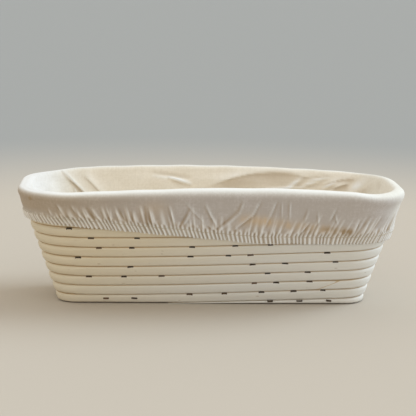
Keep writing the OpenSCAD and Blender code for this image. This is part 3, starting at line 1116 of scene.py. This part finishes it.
def skirtSurface(share, station, height, form, gathers):
    # how far the skirt stands out at a height above its hem, and its painted fold shade and painted highlight
    # on crests
    up = hemUp(station, form) + height
    offset, z = beside(form["face"], up)
    x, y = plan(station, offset)
    # the pleats lean one way below the stitches and their own way above
    hemLean = np.interp(x, gathers["leanPlaces"], gathers["hemLean"])
    foldLean = np.interp(x, gathers["leanPlaces"], gathers["foldLean"])
    fromStitch = height - gathers["stitchHeight"]
    aside = hemLean * np.minimum(fromStitch, 0) + foldLean * np.maximum(fromStitch, 0)
    where = share - aside / rimLength
    rng = np.random.default_rng(gathers["unevenSeed"])
    low, high, count = gathers["unevenWaves"]
    waves = rng.integers(low, high, count)
    turns = rng.uniform(0, fullTurn, count)
    uneven = gathers["uneven"] * np.sin(fullTurn * where[..., None] * waves + turns).sum(-1)
    # the skirt hangs in from the roll, and stands out again over the hem
    hem = form["hemHeight"]
    rollOut, rollUp = rollEdge(station, form)[4:]
    drop = rollUp - up
    out = mix(form["skirtFace"], rollOut, smooth(1 - drop / form["beadDrop"]))
    out = out + form["hemStand"] * smooth((hem + form["hemBlend"] - height) / form["hemBlend"])
    # the gathers are lower at the left end, and fade below the roll
    topFade = rising(drop, *gathers["topFade"])
    low, soft = gathers["leftHem"]
    above = np.maximum(0, height - hem * mix(low, 1, rising(x, gathers["leftEnd"], soft)))
    ridge, shown = pleatField(where, uneven, above, x, gathers, gathers)
    stitch = bell(fromStitch / gathers["stitchWidth"])
    out = out + gathers["depth"] * (ridge - gathers["stitchPull"] * stitch * shown) * topFade
    # painted shade in the valleys between pleats, fuller near the hem, and painted highlight on their ridges
    shade, soft = gathers["upperShade"]
    deep = (shown - ridge).clip(0, 1) * topFade * mix(shade, 1, smooth(1 - above / soft))
    crestHighlight = gathers["crestGain"] * ridge * topFade
    # above the hem the pleats merge into fewer, wider crinkles
    wide = gathers["crinkles"]
    ridge, shown = pleatField(where, uneven, above, x, gathers, wide)
    begun = smooth(above / wide["start"]) * topFade
    out = out + wide["depth"] * ridge * begun
    # painted shade in the crinkles' valleys and painted highlight on their ridges
    deep = deep + wide["shade"] * (shown - ridge).clip(0, 1) * begun
    crestHighlight = crestHighlight + gathers["crestGain"] * ridge * begun
    # listed creases, on the front only
    fade = rising(drop, *gathers["creaseTop"]) * rising(height / hem, *gathers["creaseHem"]) * (y < 0)
    crease = creaseField(x, z, gathers["creases"], gathers["creaseWidth"]) * fade
    swell = gathers["softDepth"] * waveNoise(together(x, y, z), gathers["softSize"], gathers["softSeed"])
    out = np.maximum(out + crease + swell * topFade, form["skirtFace"] - gathers["pressIn"])
    # painted shade in the creases' troughs and painted highlight on their ridges
    deep = deep + np.maximum(0, -crease) * gathers["creaseShade"]
    crestHighlight = crestHighlight + np.maximum(0, crease) * gathers["creaseShade"]
    return out, up, deep.clip(0, 1), crestHighlight.clip(0, 1)


# Folds of the inside: lips that overhang a shaded hollow, listed ridges on the far wall, and soft wrinkles.
# A lip is a line of X and Z, its height, how far its painted shade reaches below it at its two ends, and the
# strength of that painted shade.
insideFolds = {
    "lips": [
        ([-0.1210, -0.1108, -0.1001, -0.0860],
         [0.0905, 0.0815, 0.0724, 0.0600], 0.0008, (0.0004, 0.0120), 0.75),
        ([-0.1056, -0.0970, -0.0879, -0.0800],
         [0.0908, 0.0822, 0.0730, 0.0650], 0.0012, (0.0016, 0.0024), 0.80),
        ([-0.008, 0.017, 0.034, 0.052, 0.069, 0.077, 0.090],
         [0.0775, 0.0855, 0.0899, 0.0912, 0.0903, 0.0890, 0.0850], 0.0016, (0.018, 0.008), 0.62),
        ([0.0700, 0.0840, 0.1060], [0.0866, 0.0876, 0.0892], 0.0006, (0.0010, 0.0010), 0.70),
        ([0.092, 0.104, 0.113, 0.125], [0.0805, 0.0845, 0.0866, 0.0868], 0.0011, (0.0015, 0.0035), 0.75),
        ([0.1000, 0.1100, 0.1185], [0.0772, 0.0808, 0.0838], 0.0012, (0.0030, 0.0065), 0.75),
    ],
    "creases": [
        (-0.1195, 0.0905, -0.1001, 0.0724, 0.0009, 0.0009),
        (-0.1100, 0.0765, -0.1086, 0.0724, 0.0008, 0.0007),
        (-0.0450, 0.0899, -0.0174, 0.0865, -0.0010, 0.0016),
        (-0.0323, 0.0865, -0.0159, 0.0817, 0.0015, 0.0012),
        (0.0650, 0.0780, 0.0760, 0.0855, 0.0012, 0.0018),
        (0.0791, 0.0808, 0.0919, 0.0838, 0.0011, 0.0014),
        (0.0839, 0.0845, 0.0983, 0.0864, 0.0009, 0.0012),
        (0.0951, 0.0785, 0.1040, 0.0823, 0.0012, 0.0014),
        (0.1190, 0.0775, 0.1265, 0.0840, 0.0015, 0.0032),
        (0.1375, 0.0765, 0.1385, 0.0850, -0.0018, 0.0013),
        (0.0480, 0.0776, 0.0790, 0.0790, 0.0012, 0.0011),
    ],
    "farStart": (0.02, 0.01),
    "creaseCrest": 700,
    "creaseShade": 450,
    "lipCrest": 150,
    "crestClear": 0.75,
    "lineBlur": np.linspace(-0.008, 0.008, 9),
    "lipTaper": 0.30,
    "lipSoft": 0.0055,
    "lipSharp": 0.0009,
    "softSize": 0.045,
    "softDepth": 0.0009,
    "softStand": 0.6,
    "wrinkleSize": 0.020,
    "wrinkleStretch": (1.0, 1.0, 0.35),
    "wrinkleDepth": 0.00035,
    "edgeFade": 0.008,
    "pressIn": 0.0004,
}


def lipField(x, z, folds):
    # a lip swells slowly from above and falls sharply at its line; the hollow below it gets painted shade
    stand = 0.0
    shade = 0.0
    for lineX, lineZ, height, shadeReach, dark in folds["lips"]:
        below = np.mean([np.interp(x + shift, lineX, lineZ) for shift in folds["lineBlur"]], 0) - z
        length = (x - lineX[0]) / (lineX[-1] - lineX[0])
        reach = mix(*shadeReach, length.clip(0, 1))
        taper = between(length, 0, 1, folds["lipTaper"])
        fall = np.where(below < 0, folds["lipSoft"], folds["lipSharp"])
        stand = stand + height * taper * bell(below / fall)
        shade = shade + dark * taper * smooth(below / folds["lipSharp"]) * bell(below / reach)
    return stand, shade


def farFolds(x, y, z, folds):
    # the lips and ridges of the far wall: how far they stand, their painted shade, and their painted
    # highlight on crests
    farWall = rising(y, *folds["farStart"])
    crease = creaseField(x, z, folds["creases"]) * farWall
    lip, shade = lipField(x, z, folds)
    crestHighlight = np.maximum(0, crease) * folds["creaseCrest"] + lip * farWall * folds["lipCrest"]
    deep = np.maximum(0, -crease) * folds["creaseShade"] + shade * farWall
    crestHighlight = crestHighlight.clip(0, 1)
    return crease + lip * farWall, deep.clip(0, 1) * (1 - folds["crestClear"] * crestHighlight), crestHighlight


def insideSurface(station, up, form, folds):
    # how far the inside stands off the canes, its painted shade, and its painted highlight on crests
    bottom = upToHeight(-form["face"], form["floorTop"])
    lift = crownRise(station, form) * (up - bottom) / (wallTop - bottom)
    offset, z = beside(-form["face"], up)
    x, y = plan(station, offset)
    spot = together(x, y, z)
    fade = smooth((wallTop - up) / folds["edgeFade"]) * smooth((z - form["floorTop"]) / folds["edgeFade"])
    soft = folds["softDepth"] * (folds["softStand"] + waveNoise(spot, folds["softSize"], seed=61))
    wrinkle = folds["wrinkleDepth"] * waveNoise(spot * folds["wrinkleStretch"], folds["wrinkleSize"], seed=62)
    stand, deep, crestHighlight = farFolds(x, y, z + lift, folds)
    stand = stand + (soft + wrinkle) * fade
    return -form["face"] - np.maximum(stand, -folds["pressIn"]), lift, deep, crestHighlight


# Painted warm shade on the inside: yellower where the window light does not fall, except at the left end,
# which faces it, and less so at the right end
warmShadeForm = {"left": (-0.135, 0.045), "right": (0.115, 0.020), "rightFade": 0.6}


def warmShadeShare(x, form):
    return rising(x, *form["left"]) * (1 - form["rightFade"] * rising(x, *form["right"]))


# Stains on the front of the skirt: a streak along a line, and soft patches and dark spots, each with its
# middle in X and Z, its width and height, and its strength
stainForm = {
    "streak": (0.012, 0.0742, 0.110, 0.0598),
    "streakWidth": 0.0038,
    "streakEnds": (0.0, 1.08, 0.2),
    "patches": [(-0.045, 0.081, 0.010, 0.006, 0.4), (0.030, 0.0700, 0.014, 0.0050, 0.5)],
    "spots": [(-0.1390, 0.0850, 0.0011, 0.0011, 3.0), (0.088, 0.0642, 0.008, 0.0028, 1.0),
              (0.101, 0.0620, 0.008, 0.0028, 1.7)],
    "unevenStretch": (2.5, 1.0, 0.5),
    "unevenSize": 0.011,
    "uneven": (0.6, 0.4),
    "crestClear": 0.7,
}


def softSpots(x, z, places):
    # sum of bells in X and Z
    total = 0.0
    for px, pz, wide, tall, strength in places:
        total = total + strength * bell((x - px) / wide) * bell((z - pz) / tall)
    return total


def stainMasks(points, form):
    # the streak is a bell across its line, uneven along it
    x, y, z = np.moveaxis(points, -1, 0)
    along, across = lineFrame(x, z, form["streak"])[:2]
    least, sway = form["uneven"]
    uneven = least + sway * waveNoise(points * form["unevenStretch"], form["unevenSize"], seed=71)
    stain = bell(across / form["streakWidth"]) * between(along, *form["streakEnds"]) * uneven.clip(least, 1)
    stain = stain + softSpots(x, z, form["patches"])
    return stain * (y < 0), softSpots(x, z, form["spots"]) * (y < 0)


# Cloth: the masks are blended over the pale colour in their order, each with its share; all but the stains
# are painted light or shade, and the fold shade also carries real dark spots
clothFinish = {
    "pale": (0.850, 0.836, 0.785, 1),
    "thread": (0.880, 0.865, 0.835, 1),
    "warmShade": (0.905, 0.795, 0.640, 1),
    "skirtShade": (0.600, 0.554, 0.537, 1),
    "crestHighlight": (0.940, 0.950, 0.955, 1),
    "deep": (0.420, 0.310, 0.195, 1),
    "stain": (0.680, 0.525, 0.360, 1),
    # colours at the left end, painted light: a greyer pale as painted shade where the light falls strongest,
    # and yellower painted shade and highlight
    "left": {
        "pale": (0.775, 0.760, 0.745, 1),
        "skirtShade": (0.486, 0.377, 0.263, 1),
        "crestHighlight": (0.870, 0.825, 0.745, 1),
    },
    "lightDrift": (-0.165, 0.0),
    "paleDrift": (-0.142, -0.108),
    "insideEdge": -3.3,
    "masks": [("warmShade", 0.55), ("skirtShade", 0.92), ("crestHighlight", 0.96), ("stain", 0.74), ("deep", 0.85)],
    "threads": 1500.0,
    "cloud": ((38.0, 3.0, 0.55), (0.35, 0.7)),
    "grain": ((520.0, 2.0, 0.6), (0.35, 0.65)),
    "texture": {"cloud": 0.30, "slub": 0.35, "grain": 0.35},
    "skirtTexture": 0.9,
    "bump": (0.25, 0.00025),
    "surface": {"Roughness": 0.88, "Specular IOR Level": 0.2, "Sheen Weight": 0.12, "Sheen Roughness": 0.5},
}


def makeClothMaterial(finish):
    material, tree, shader = newMaterial("unbleachedCotton", finish["surface"])
    weave = useGroup(tree, weaveGroup, {"Threads": finish["threads"]}).outputs
    place = objectPlace(tree)
    parts = {"slub": weave["Slub"]}
    for key in ("cloud", "grain"):
        scale, edges = finish[key]
        parts[key] = ramp(tree, noise(tree, place, *scale), *edges)
    shade = weighted(tree, *[(parts[key], share) for key, share in finish["texture"].items()])
    # the skirt has the strongest texture; the pale colour is greyer at the left end, painted shade to tone
    # down the lamps' light where the inside's left end faces them
    skirtShade = attributeValue(tree, "skirtShade")
    shade = sumUp(tree, "MULTIPLY", shade, sumUp(tree, "MULTIPLY_ADD", skirtShade, finish["skirtTexture"], 1.0))
    x = axesOf(tree, place)["X"]
    colour = blendColour(tree, ramp(tree, x, *finish["paleDrift"]), finish["left"]["pale"], finish["pale"])
    # painted light colour: painted highlights and the skirt's painted shade are yellower at the left for warm
    # bounce light, and cool white inside and at the right for the window light
    inside = sumUp(tree, "MULTIPLY_ADD", skirtShade, finish["insideEdge"], 1.0, clamp=True)
    coolLit = sumUp(tree, "MAXIMUM", ramp(tree, x, *finish["lightDrift"]), inside)
    for mask, share in finish["masks"]:
        tint = finish[mask]
        if mask == "crestHighlight":
            colour = blendColour(tree, shade, colour, finish["thread"], "MULTIPLY")
        if mask in finish["left"]:
            tint = blendColour(tree, coolLit, finish["left"][mask], tint)
        colour = blendColour(tree, weighted(tree, (attributeValue(tree, mask), share)), colour, tint)
    tree.links.new(colour, shader.inputs["Base Color"])
    addBump(tree, shader, weave["Height"], *finish["bump"])
    return material


clothMaterial = makeClothMaterial(clothFinish)


def thicken(piece, thick):
    solid = piece.modifiers.new("clothThickness", "SOLIDIFY")
    solid.thickness = thick
    solid.offset = -1.0
    solid.use_even_offset = False
    return piece


def clothObject(name, points, share, downFrom, values, thick, **wrap):
    # the map is the length round the rim and the length down the cloth's middle; thickness goes inwards
    down = lengthAlong(points[:, points.shape[1] // 2]) + downFrom
    uv = together(share * rimLength, down[:, None])
    return thicken(gridObject(name, points, uv=uv, values=values, **wrap), thick)


# Skirt: over the rim, down the outside, round the hem and up behind it, in two halves sewn at the ends.
# Each part gives out, up, lift, deep (painted fold shade), crestHighlight (painted highlight), skirtShade
# (painted shade on the outside), warmShade (painted warm shade) and outside; the roll's angle is 0 at its
# outside.
skirtRows = {
    "inside": 5,
    "roll": 15,
    "skirt": 33,
    "turn": 2,
    "behind": 2,
    "insideDepth": 0.006,
    "outerAngle": 1.6,
    "tiltAngles": (2.1, 1.2),
    "foldAngles": (1.95, 0.45),
    "warmShadeAngles": (1.9, 0.9),
    "shadeAngle": 1.0,
    "highlightAngles": (0.2, 2.5, 0.8),
    "rollHighlight": 0.45,
    "outsideRows": 2,
    "hemBias": 0.55,
    "hemShade": 0.3,
    "shadeRise": 0.012,
    "litEnd": (1.38, 3.62, 0.42),
    "litEndShare": 0.75,
    "turnDrop": 0.0005,
    "behindFace": 0.0044,
    "behindRoom": 0.001,
    "mapStart": 0.08,
}


def insidePart(station, form, rows):
    up = np.linspace(wallTop - rows["insideDepth"], wallTop, rows["inside"], endpoint=False)[:, None]
    out, lift, deep, crestHighlight = insideSurface(station, up, form, insideFolds)
    return out, up, lift, deep, crestHighlight, 0.0, 1.0, 0.0


def rollPart(share, station, shadeFactor, form, rows):
    # half a superellipse over the rim, raised by the crown, tilted at its outside, with far folds inside
    angle = np.linspace(math.pi, 0, rows["roll"], endpoint=False)[:, None]
    atEnd, bead, tilt, raised = rollEdge(station, form)[:4]
    outer = smooth(1 - angle / rows["outerAngle"])
    start, soft = rows["tiltAngles"]
    tilt = tilt * smooth((start - angle) / soft)
    px, py = pressed(angle, form["rollSquareness"])
    acrossRoll = px * np.cos(tilt) - py * np.sin(tilt)
    overRoll = px * np.sin(tilt) + py * np.cos(tilt)
    lift = crownRise(station, form) * mix(form["beadLift"][0], 1, smooth(angle / form["crownTurn"]))
    alongWall = wallTop + (raised + lift) * outer
    lift = lift * (1 - outer)
    size, *lengths = form["rollRipple"]
    swell = form["rollPuff"] + size * ripple(share * rimLength, 63, 6, *lengths)
    puff = form["face"] + swell * np.sin(angle) + bead * outer
    offset, z = beside(puff * acrossRoll, alongWall + puff * overRoll)
    x, y = plan(station, offset)
    inner = rising(angle, *rows["foldAngles"])
    stand, deep, crestHighlight = farFolds(x, y, z + lift, insideFolds)
    puff = puff + stand * inner
    # painted highlight along the top of the roll except at the right end, painted shade on its outside, and
    # painted warm shade on its inside
    highlight = rows["rollHighlight"] * (1 - atEnd) * between(angle, *rows["highlightAngles"])
    skirtShade = smooth(1 - angle / rows["shadeAngle"]) * shadeFactor
    warmShade = rising(angle, *rows["warmShadeAngles"])
    outside = np.arange(rows["roll"])[:, None] >= rows["roll"] - rows["outsideRows"]
    crestHighlight = np.maximum(crestHighlight * inner, highlight)
    return puff * acrossRoll, alongWall + puff * overRoll, lift, deep * inner, crestHighlight, skirtShade, warmShade, outside


def hangPart(share, station, shadeFactor, form, gathers, rows):
    # from the roll's outermost place down to the hem, with smaller steps towards the hem
    t = np.linspace(1, 0, rows["skirt"])[:, None]
    tall = rollEdge(station, form)[5] - hemUp(station, form)
    height = tall * mix(t, t**2, rows["hemBias"])
    out, up, deep, crestHighlight = skirtSurface(share, station, height, form, gathers)
    size, soft = gathers["scallop"]
    up = up - size * crestHighlight * smooth(1 - height / soft)
    part, soft = form["beadLift"]
    up = up + crownRise(station, form) * part * smooth(1 - (tall - height) / soft)
    # painted shade on the skirt's outside, which faces away from the light: lighter towards the hem and at
    # the right end
    skirtShade = mix(rows["hemShade"], 1, smooth(height / rows["shadeRise"])) * shadeFactor
    return out, up, 0.0, deep, crestHighlight, skirtShade, 0.0, 1.0


def hemParts(out, up, form, rows):
    # round the hem's edge, and up behind it; these rows carry full painted fold shade, a dark line of painted
    # shadow under the hem
    turn = np.linspace(0, 1, rows["turn"] + 1)[1:, None]
    behind = np.linspace(0, 1, rows["behind"] + 1)[1:, None] * (form["hemHeight"] - rows["behindRoom"])
    marks = 0.0, 1.0, 0.0, rows["hemShade"], 0.0, 1.0
    edge = up - rows["turnDrop"] * np.sin(turn * math.pi)
    return [(mix(out, rows["behindFace"], turn), edge, *marks), (rows["behindFace"], up + behind, *marks)]


def makeSkirtHalf(name, first, last, form, gathers, rows):
    share = np.arange(first, last + 1)[None, :] / form["columns"]
    # painted shade: the right end, which faces the window light, gets less of it
    station = stationAt(share)
    # the right end is less worn
    shadeFactor = 1 - rows["litEndShare"] * between(station, *rows["litEnd"])
    hang = hangPart(share, station, shadeFactor, form, gathers, rows)
    parts = [insidePart(station, form, rows), rollPart(share, station, shadeFactor, form, rows), hang]
    parts += hemParts(hang[0][-1:], hang[1][-1:], form, rows)
    full = [np.broadcast_arrays(*part, station)[:-1] for part in parts]
    out, up, lift, deep, crestHighlight, skirtShade, warmShade, outside = (np.concatenate(rowsOf) for rowsOf in zip(*full))
    points = clothPoints(station, out, up, lift)
    stain, spots = stainMasks(points, stainForm)
    # stains and spots are weakened on the painted highlights so the crests stay bright; the real dark spots
    # share the painted fold-shade mask
    outside = outside * (1 - stainForm["crestClear"] * crestHighlight)
    values = {"deep": np.maximum(deep, spots * outside), "crestHighlight": crestHighlight, "skirtShade": skirtShade,
              "warmShade": warmShade * warmShadeShare(points[..., 0], warmShadeForm), "stain": stain * outside}
    return clothObject(name, points, share, rows["mapStart"], values, form["thick"])


halfWay = linerForm["columns"] // 2
skirtFront = makeSkirtHalf("linerSkirtFront", 0, halfWay, linerForm, skirtGathers, skirtRows)
skirtBack = makeSkirtHalf("linerSkirtBack", halfWay, linerForm["columns"], linerForm, skirtGathers, skirtRows)
print("skirt gathered:", skirtGathers["pleats"], "pleats")

# Inside wall of the liner: its rows crowd towards the roll
insideRows = {"count": 54, "crowding": 1.5}


def makeInsideWall(form, folds, rows):
    share = np.arange(0, form["columns"] + 1, form["insideStep"]) / form["columns"]
    station = stationAt(share[:-1])[None, :]
    bottom = upToHeight(-form["face"], form["floorTop"])
    t = np.linspace(1, 0, rows["count"])[:, None]
    up = mix(wallTop - skirtRows["insideDepth"], bottom, t ** rows["crowding"])
    out, lift, deep, crestHighlight = insideSurface(station, up, form, folds)
    points = clothPoints(station, out, up, lift)
    values = {"deep": deep, "crestHighlight": crestHighlight, "skirtShade": 0 * deep, "stain": 0 * deep,
              "warmShade": warmShadeShare(points[..., 0], warmShadeForm)}
    return clothObject("linerInside", points, share, 0.0, values, form["thick"], wrapCols=True)


linerInside = makeInsideWall(linerForm, insideFolds, insideRows)

# Floor panel of the liner: a grid whose width follows the rounded outline
floorPanel = {
    "columns": 150,
    "rows": 40,
    "below": 0.0001,
    "wrinkle": 0.0005,
    "wrinkleSizes": (0.030, 0.05),
    "swell": 0.4,
    "edgeFade": (0.25, 0.012),
    "mapMiddle": 0.5,
}


def makeFloorPanel(form, panel):
    # wrinkles are ridges where a noise passes 0, on slow swells, and fade towards the seam
    edge = beside(-form["face"], upToHeight(-form["face"], form["floorTop"]))[0]
    halfX = ringX + edge
    halfY = ringY + edge
    corner = cornerRadius(edge)
    x = halfX * np.sin(np.linspace(-quarterTurn, quarterTurn, panel["columns"]))[None, :]
    v = np.linspace(1, -1, panel["rows"])[:, None]
    past = (np.abs(x) - (halfX - corner)).clip(0, corner)
    y = (halfY - corner + np.sqrt(corner**2 - past**2)) * v
    fadeY, fadeX = panel["edgeFade"]
    inside = smooth((1 - np.abs(v)) / fadeY) * smooth((halfX - np.abs(x)) / fadeX)
    spot = together(x, y, 0 * x)
    fine, slow = panel["wrinkleSizes"]
    rumple = (1 - np.abs(waveNoise(spot, fine, seed=81))) ** 2
    rumple = rumple + panel["swell"] * waveNoise(spot, slow, seed=82)
    z = form["floorTop"] - panel["below"] + panel["wrinkle"] * rumple.clip(0, 2) * inside
    points = together(x, y, z)
    values = {key: 0 * z for key in ("deep", "crestHighlight", "skirtShade", "stain", "warmShade")}
    piece = gridObject("linerFloor", points, uv=points[..., :2] + panel["mapMiddle"], values=values)
    return thicken(piece, form["thick"])


linerFloor = makeFloorPanel(linerForm, floorPanel)

# Stitches and elastic
threadForm = {
    "radius": 0.00022,
    "sides": 6,
    "perStitch": 8,
    "dip": 2.2,
    "hemStitch": 0.0026,
    "hemProud": 0.00018,
    "floorStitches": 190,
    "floorProud": 0.00025,
    "floorRise": 0.0006,
}
threadFinish = {
    "pale": (0.700, 0.650, 0.550, 1),
    "shade": (0.520, 0.440, 0.320, 1),
    "twist": 2500.0,
    "bump": (0.3, 0.0001),
}
elasticForm = {
    "out": 0.00497,
    "thick": 0.0003,
    "width": 0.0045,
    "low": 0.0010,
    "step": 2,
    "mapEdges": [0, 1, 1.2, 2.2, 2.4],
    "sharp": math.radians(40),
}
elasticFinish = {
    "pale": (0.76, 0.74, 0.69, 1),
    "shade": (0.62, 0.60, 0.55, 1),
    "threads": 900.0,
    "bump": (0.5, 0.0003),
}


def makeThreadMaterial(finish):
    material, tree, shader = newMaterial("cottonThread", {"Roughness": 0.8, "Specular IOR Level": 0.2})
    twist = noise(tree, objectPlace(tree), finish["twist"])
    tree.links.new(blendColour(tree, twist, finish["pale"], finish["shade"]), shader.inputs["Base Color"])
    addBump(tree, shader, twist, *finish["bump"])
    return material


def makeElasticMaterial(finish):
    material, tree, shader = newMaterial("wovenElastic", {"Roughness": 0.75, "Specular IOR Level": 0.25})
    weave = useGroup(tree, weaveGroup, {"Threads": finish["threads"]}).outputs
    colour = blendColour(tree, weave["Slub"], finish["pale"], finish["shade"])
    tree.links.new(colour, shader.inputs["Base Color"])
    addBump(tree, shader, weave["Height"], *finish["bump"])
    return material


threadMaterial = makeThreadMaterial(threadFinish)
elasticMaterial = makeElasticMaterial(elasticFinish)


def closedTube(name, line, radius, sides):
    # a round section carried along a closed line: one side axis lies level, the other square to both
    way = np.roll(line, -1, 0) - np.roll(line, 1, 0)
    way /= np.linalg.norm(way, axis=1)[:, None]
    sideways = np.cross(way, upright)
    sideways /= np.linalg.norm(sideways, axis=1)[:, None]
    over = np.cross(sideways, way)
    angle = roundAngles(sides)
    section = scaled(sideways[:, None], np.cos(angle)) + scaled(over[:, None], np.sin(angle))
    return gridObject(name, line[:, None] + radius * section, wrapRows=True, wrapCols=True)


def runningStitch(stitches, proud, thread):
    # shares round the line, and how far the thread stands out: it dips through the cloth between stitches
    count = stitches * thread["perStitch"]
    share = np.arange(count) / count
    dip = np.cos(fullTurn * share * stitches).clip(0, 1)
    return share, proud - thread["dip"] * thread["radius"] * dip


def makeHemThread(form, gathers, thread):
    share, stand = runningStitch(round(rimLength / thread["hemStitch"]), thread["hemProud"], thread)
    station = stationAt(share)
    height = np.full_like(share, gathers["stitchHeight"])
    out, up = skirtSurface(share, station, height, form, gathers)[:2]
    line = clothPoints(station, out + stand, up, 0.0)
    return closedTube("hemStitches", line, thread["radius"], thread["sides"])


def makeFloorThread(form, thread):
    share, stand = runningStitch(thread["floorStitches"], thread["floorProud"], thread)
    up = upToHeight(-form["face"], form["floorTop"] + thread["floorRise"])
    line = clothPoints(8 * share, -form["face"] - stand, up, 0.0)
    return closedTube("floorStitches", line, thread["radius"], thread["sides"])


def makeElastic(form, elastic):
    # a flat rectangle carried round inside the hem
    share = np.arange(0, form["columns"], elastic["step"]) / form["columns"]
    station = stationAt(share)[:, None]
    corner = np.array([[1, 0], [1, 1], [0, 1], [0, 0]])
    out = elastic["out"] + elastic["thick"] * (corner[:, 0] - 0.5)
    up = hemUp(station, form) + elastic["low"] + elastic["width"] * corner[:, 1]
    points = clothPoints(station, out, up, 0.0)
    uv = together(np.append(share, 1)[:, None] * rimLength, np.array(elastic["mapEdges"]) * elastic["width"])
    piece = gridObject("hemElastic", points, wrapRows=True, wrapCols=True, uv=uv)
    piece.data.set_sharp_from_angle(angle=elastic["sharp"])
    return piece


hemThread = makeHemThread(linerForm, skirtGathers, threadForm)
floorThread = makeFloorThread(linerForm, threadForm)
hemElastic = makeElastic(linerForm, elasticForm)

for piece, slot, material, node in (
    (skirtFront, "cloth", clothMaterial, "liner_skirt"),
    (skirtBack, "cloth", clothMaterial, "liner_skirt"),
    (linerInside, "cloth", clothMaterial, "liner_wall"),
    (linerFloor, "cloth", clothMaterial, "liner_floor"),
    (hemThread, "thread", threadMaterial, "hem_thread"),
    (floorThread, "thread", threadMaterial, "floor_seam_thread"),
    (hemElastic, "elastic", elasticMaterial, "hem_elastic"),
):
    finishPiece(piece, "liner", material, node)

print("liner sewn: inside, floor, skirt, stitches and elastic")

# Stage, light and camera
stageForm = {
    "size": 12.0,
    "near": (0.56, 0.505, 0.435, 1),
    "far": (0.35, 0.355, 0.35, 1),
    "fade": (0.40, 0.95),
    "world": (1.0, 0.96, 0.88, 1),
    "worldLevel": 0.835,
}
sunForms = [
    {"name": "windowSun", "place": (0.80, 0.22, 0.58), "level": 1.88, "spread": math.radians(40),
     "colour": (0.74, 0.88, 1.0)},
    {"name": "windowGlow", "place": (0.98, 0.05, 0.20), "level": 0.38, "spread": math.radians(60),
     "colour": (0.30, 0.60, 1.0)},
]
cameraForm = {
    "distance": 1.100,
    "height": 0.27770,
    "sideways": 0.0023,
    "down": 0.1865,
    "turn": 0.0436,
    "roll": 0.0153,
    "focalPixels": 1410.2,
    "framePixels": 416,
    "sensor": 36.0,
    "clipEnd": 60.0,
}


def makeFloor(form):
    # pale near the object, greyer further off: painted light falloff, as if the studio light faded with
    # distance
    half = form["size"]
    ground = np.array([[[-half, half, 0], [half, half, 0]], [[-half, -half, 0], [half, -half, 0]]])
    floor = gridObject("paleFloor", ground)
    material, tree, shader = newMaterial("paleFloorPaint", {"Roughness": 0.9, "Specular IOR Level": 0.1})
    reach = addNode(tree, "ShaderNodeVectorMath", operation="LENGTH")
    tree.links.new(objectPlace(tree), reach.inputs[0])
    far = ramp(tree, reach.outputs["Value"], *form["fade"])
    tree.links.new(blendColour(tree, far, form["near"], form["far"]), shader.inputs["Base Color"])
    floor.data.materials.append(material)
    floor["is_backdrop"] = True


def makeWorld(form):
    world = bpy.data.worlds.new("paleRoom")
    world.use_nodes = True
    background = world.node_tree.nodes["Background"]
    background.inputs["Color"].default_value = form["world"]
    background.inputs["Strength"].default_value = form["worldLevel"]
    bpy.context.scene.world = world


def placeThing(name, data, right, up, back, place):
    # links an object whose own axes point right, up and back
    thing = bpy.data.objects.new(name, data)
    bpy.context.scene.collection.objects.link(thing)
    matrix = np.eye(4)
    matrix[:3] = np.stack([right, up, back, place], -1)
    thing.matrix_world = matrix.T.tolist()
    return thing


def makeSun(form):
    # shines from its place towards the origin
    data = bpy.data.lights.new(form["name"], "SUN")
    data.energy = form["level"]
    data.angle = form["spread"]
    data.color = form["colour"]
    back = np.array(form["place"]) / np.linalg.norm(form["place"])
    right = np.cross(upright, back)
    right /= np.linalg.norm(right)
    placeThing(form["name"], data, right, np.cross(back, right), back, form["place"])


def makeCamera(form):
    # looks down and along +Y, turned about the basket's upright axis and rolled a little
    data = bpy.data.cameras.new("photoCamera")
    data.sensor_width = form["sensor"]
    data.lens = form["focalPixels"] / form["framePixels"] * form["sensor"]
    data.clip_end = form["clipEnd"]
    turn = -form["turn"]
    flat = np.array([[math.cos(turn), -math.sin(turn), 0], [math.sin(turn), math.cos(turn), 0], [0, 0, 1]])
    place = flat @ np.array([-form["sideways"], -form["distance"], form["height"]])
    right = flat @ np.array([1.0, 0, 0])
    up = flat @ np.array([0, math.sin(form["down"]), math.cos(form["down"])])
    c = math.cos(form["roll"])
    s = math.sin(form["roll"])
    back = np.cross(right, up)
    rolled = c * right + s * up, c * up - s * right
    bpy.context.scene.camera = placeThing("photoCamera", data, *rolled, back, place)


makeFloor(stageForm)
makeWorld(stageForm)
for sunForm in sunForms:
    makeSun(sunForm)
makeCamera(cameraForm)
bpy.context.scene.view_settings.view_transform = "Standard"
print("stage, lamps and camera set")

sizes = {"cad": cadBox, "visual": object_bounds()}
sizes = {key: [[float(v) for v in corner] for corner in box] for key, box in sizes.items()}
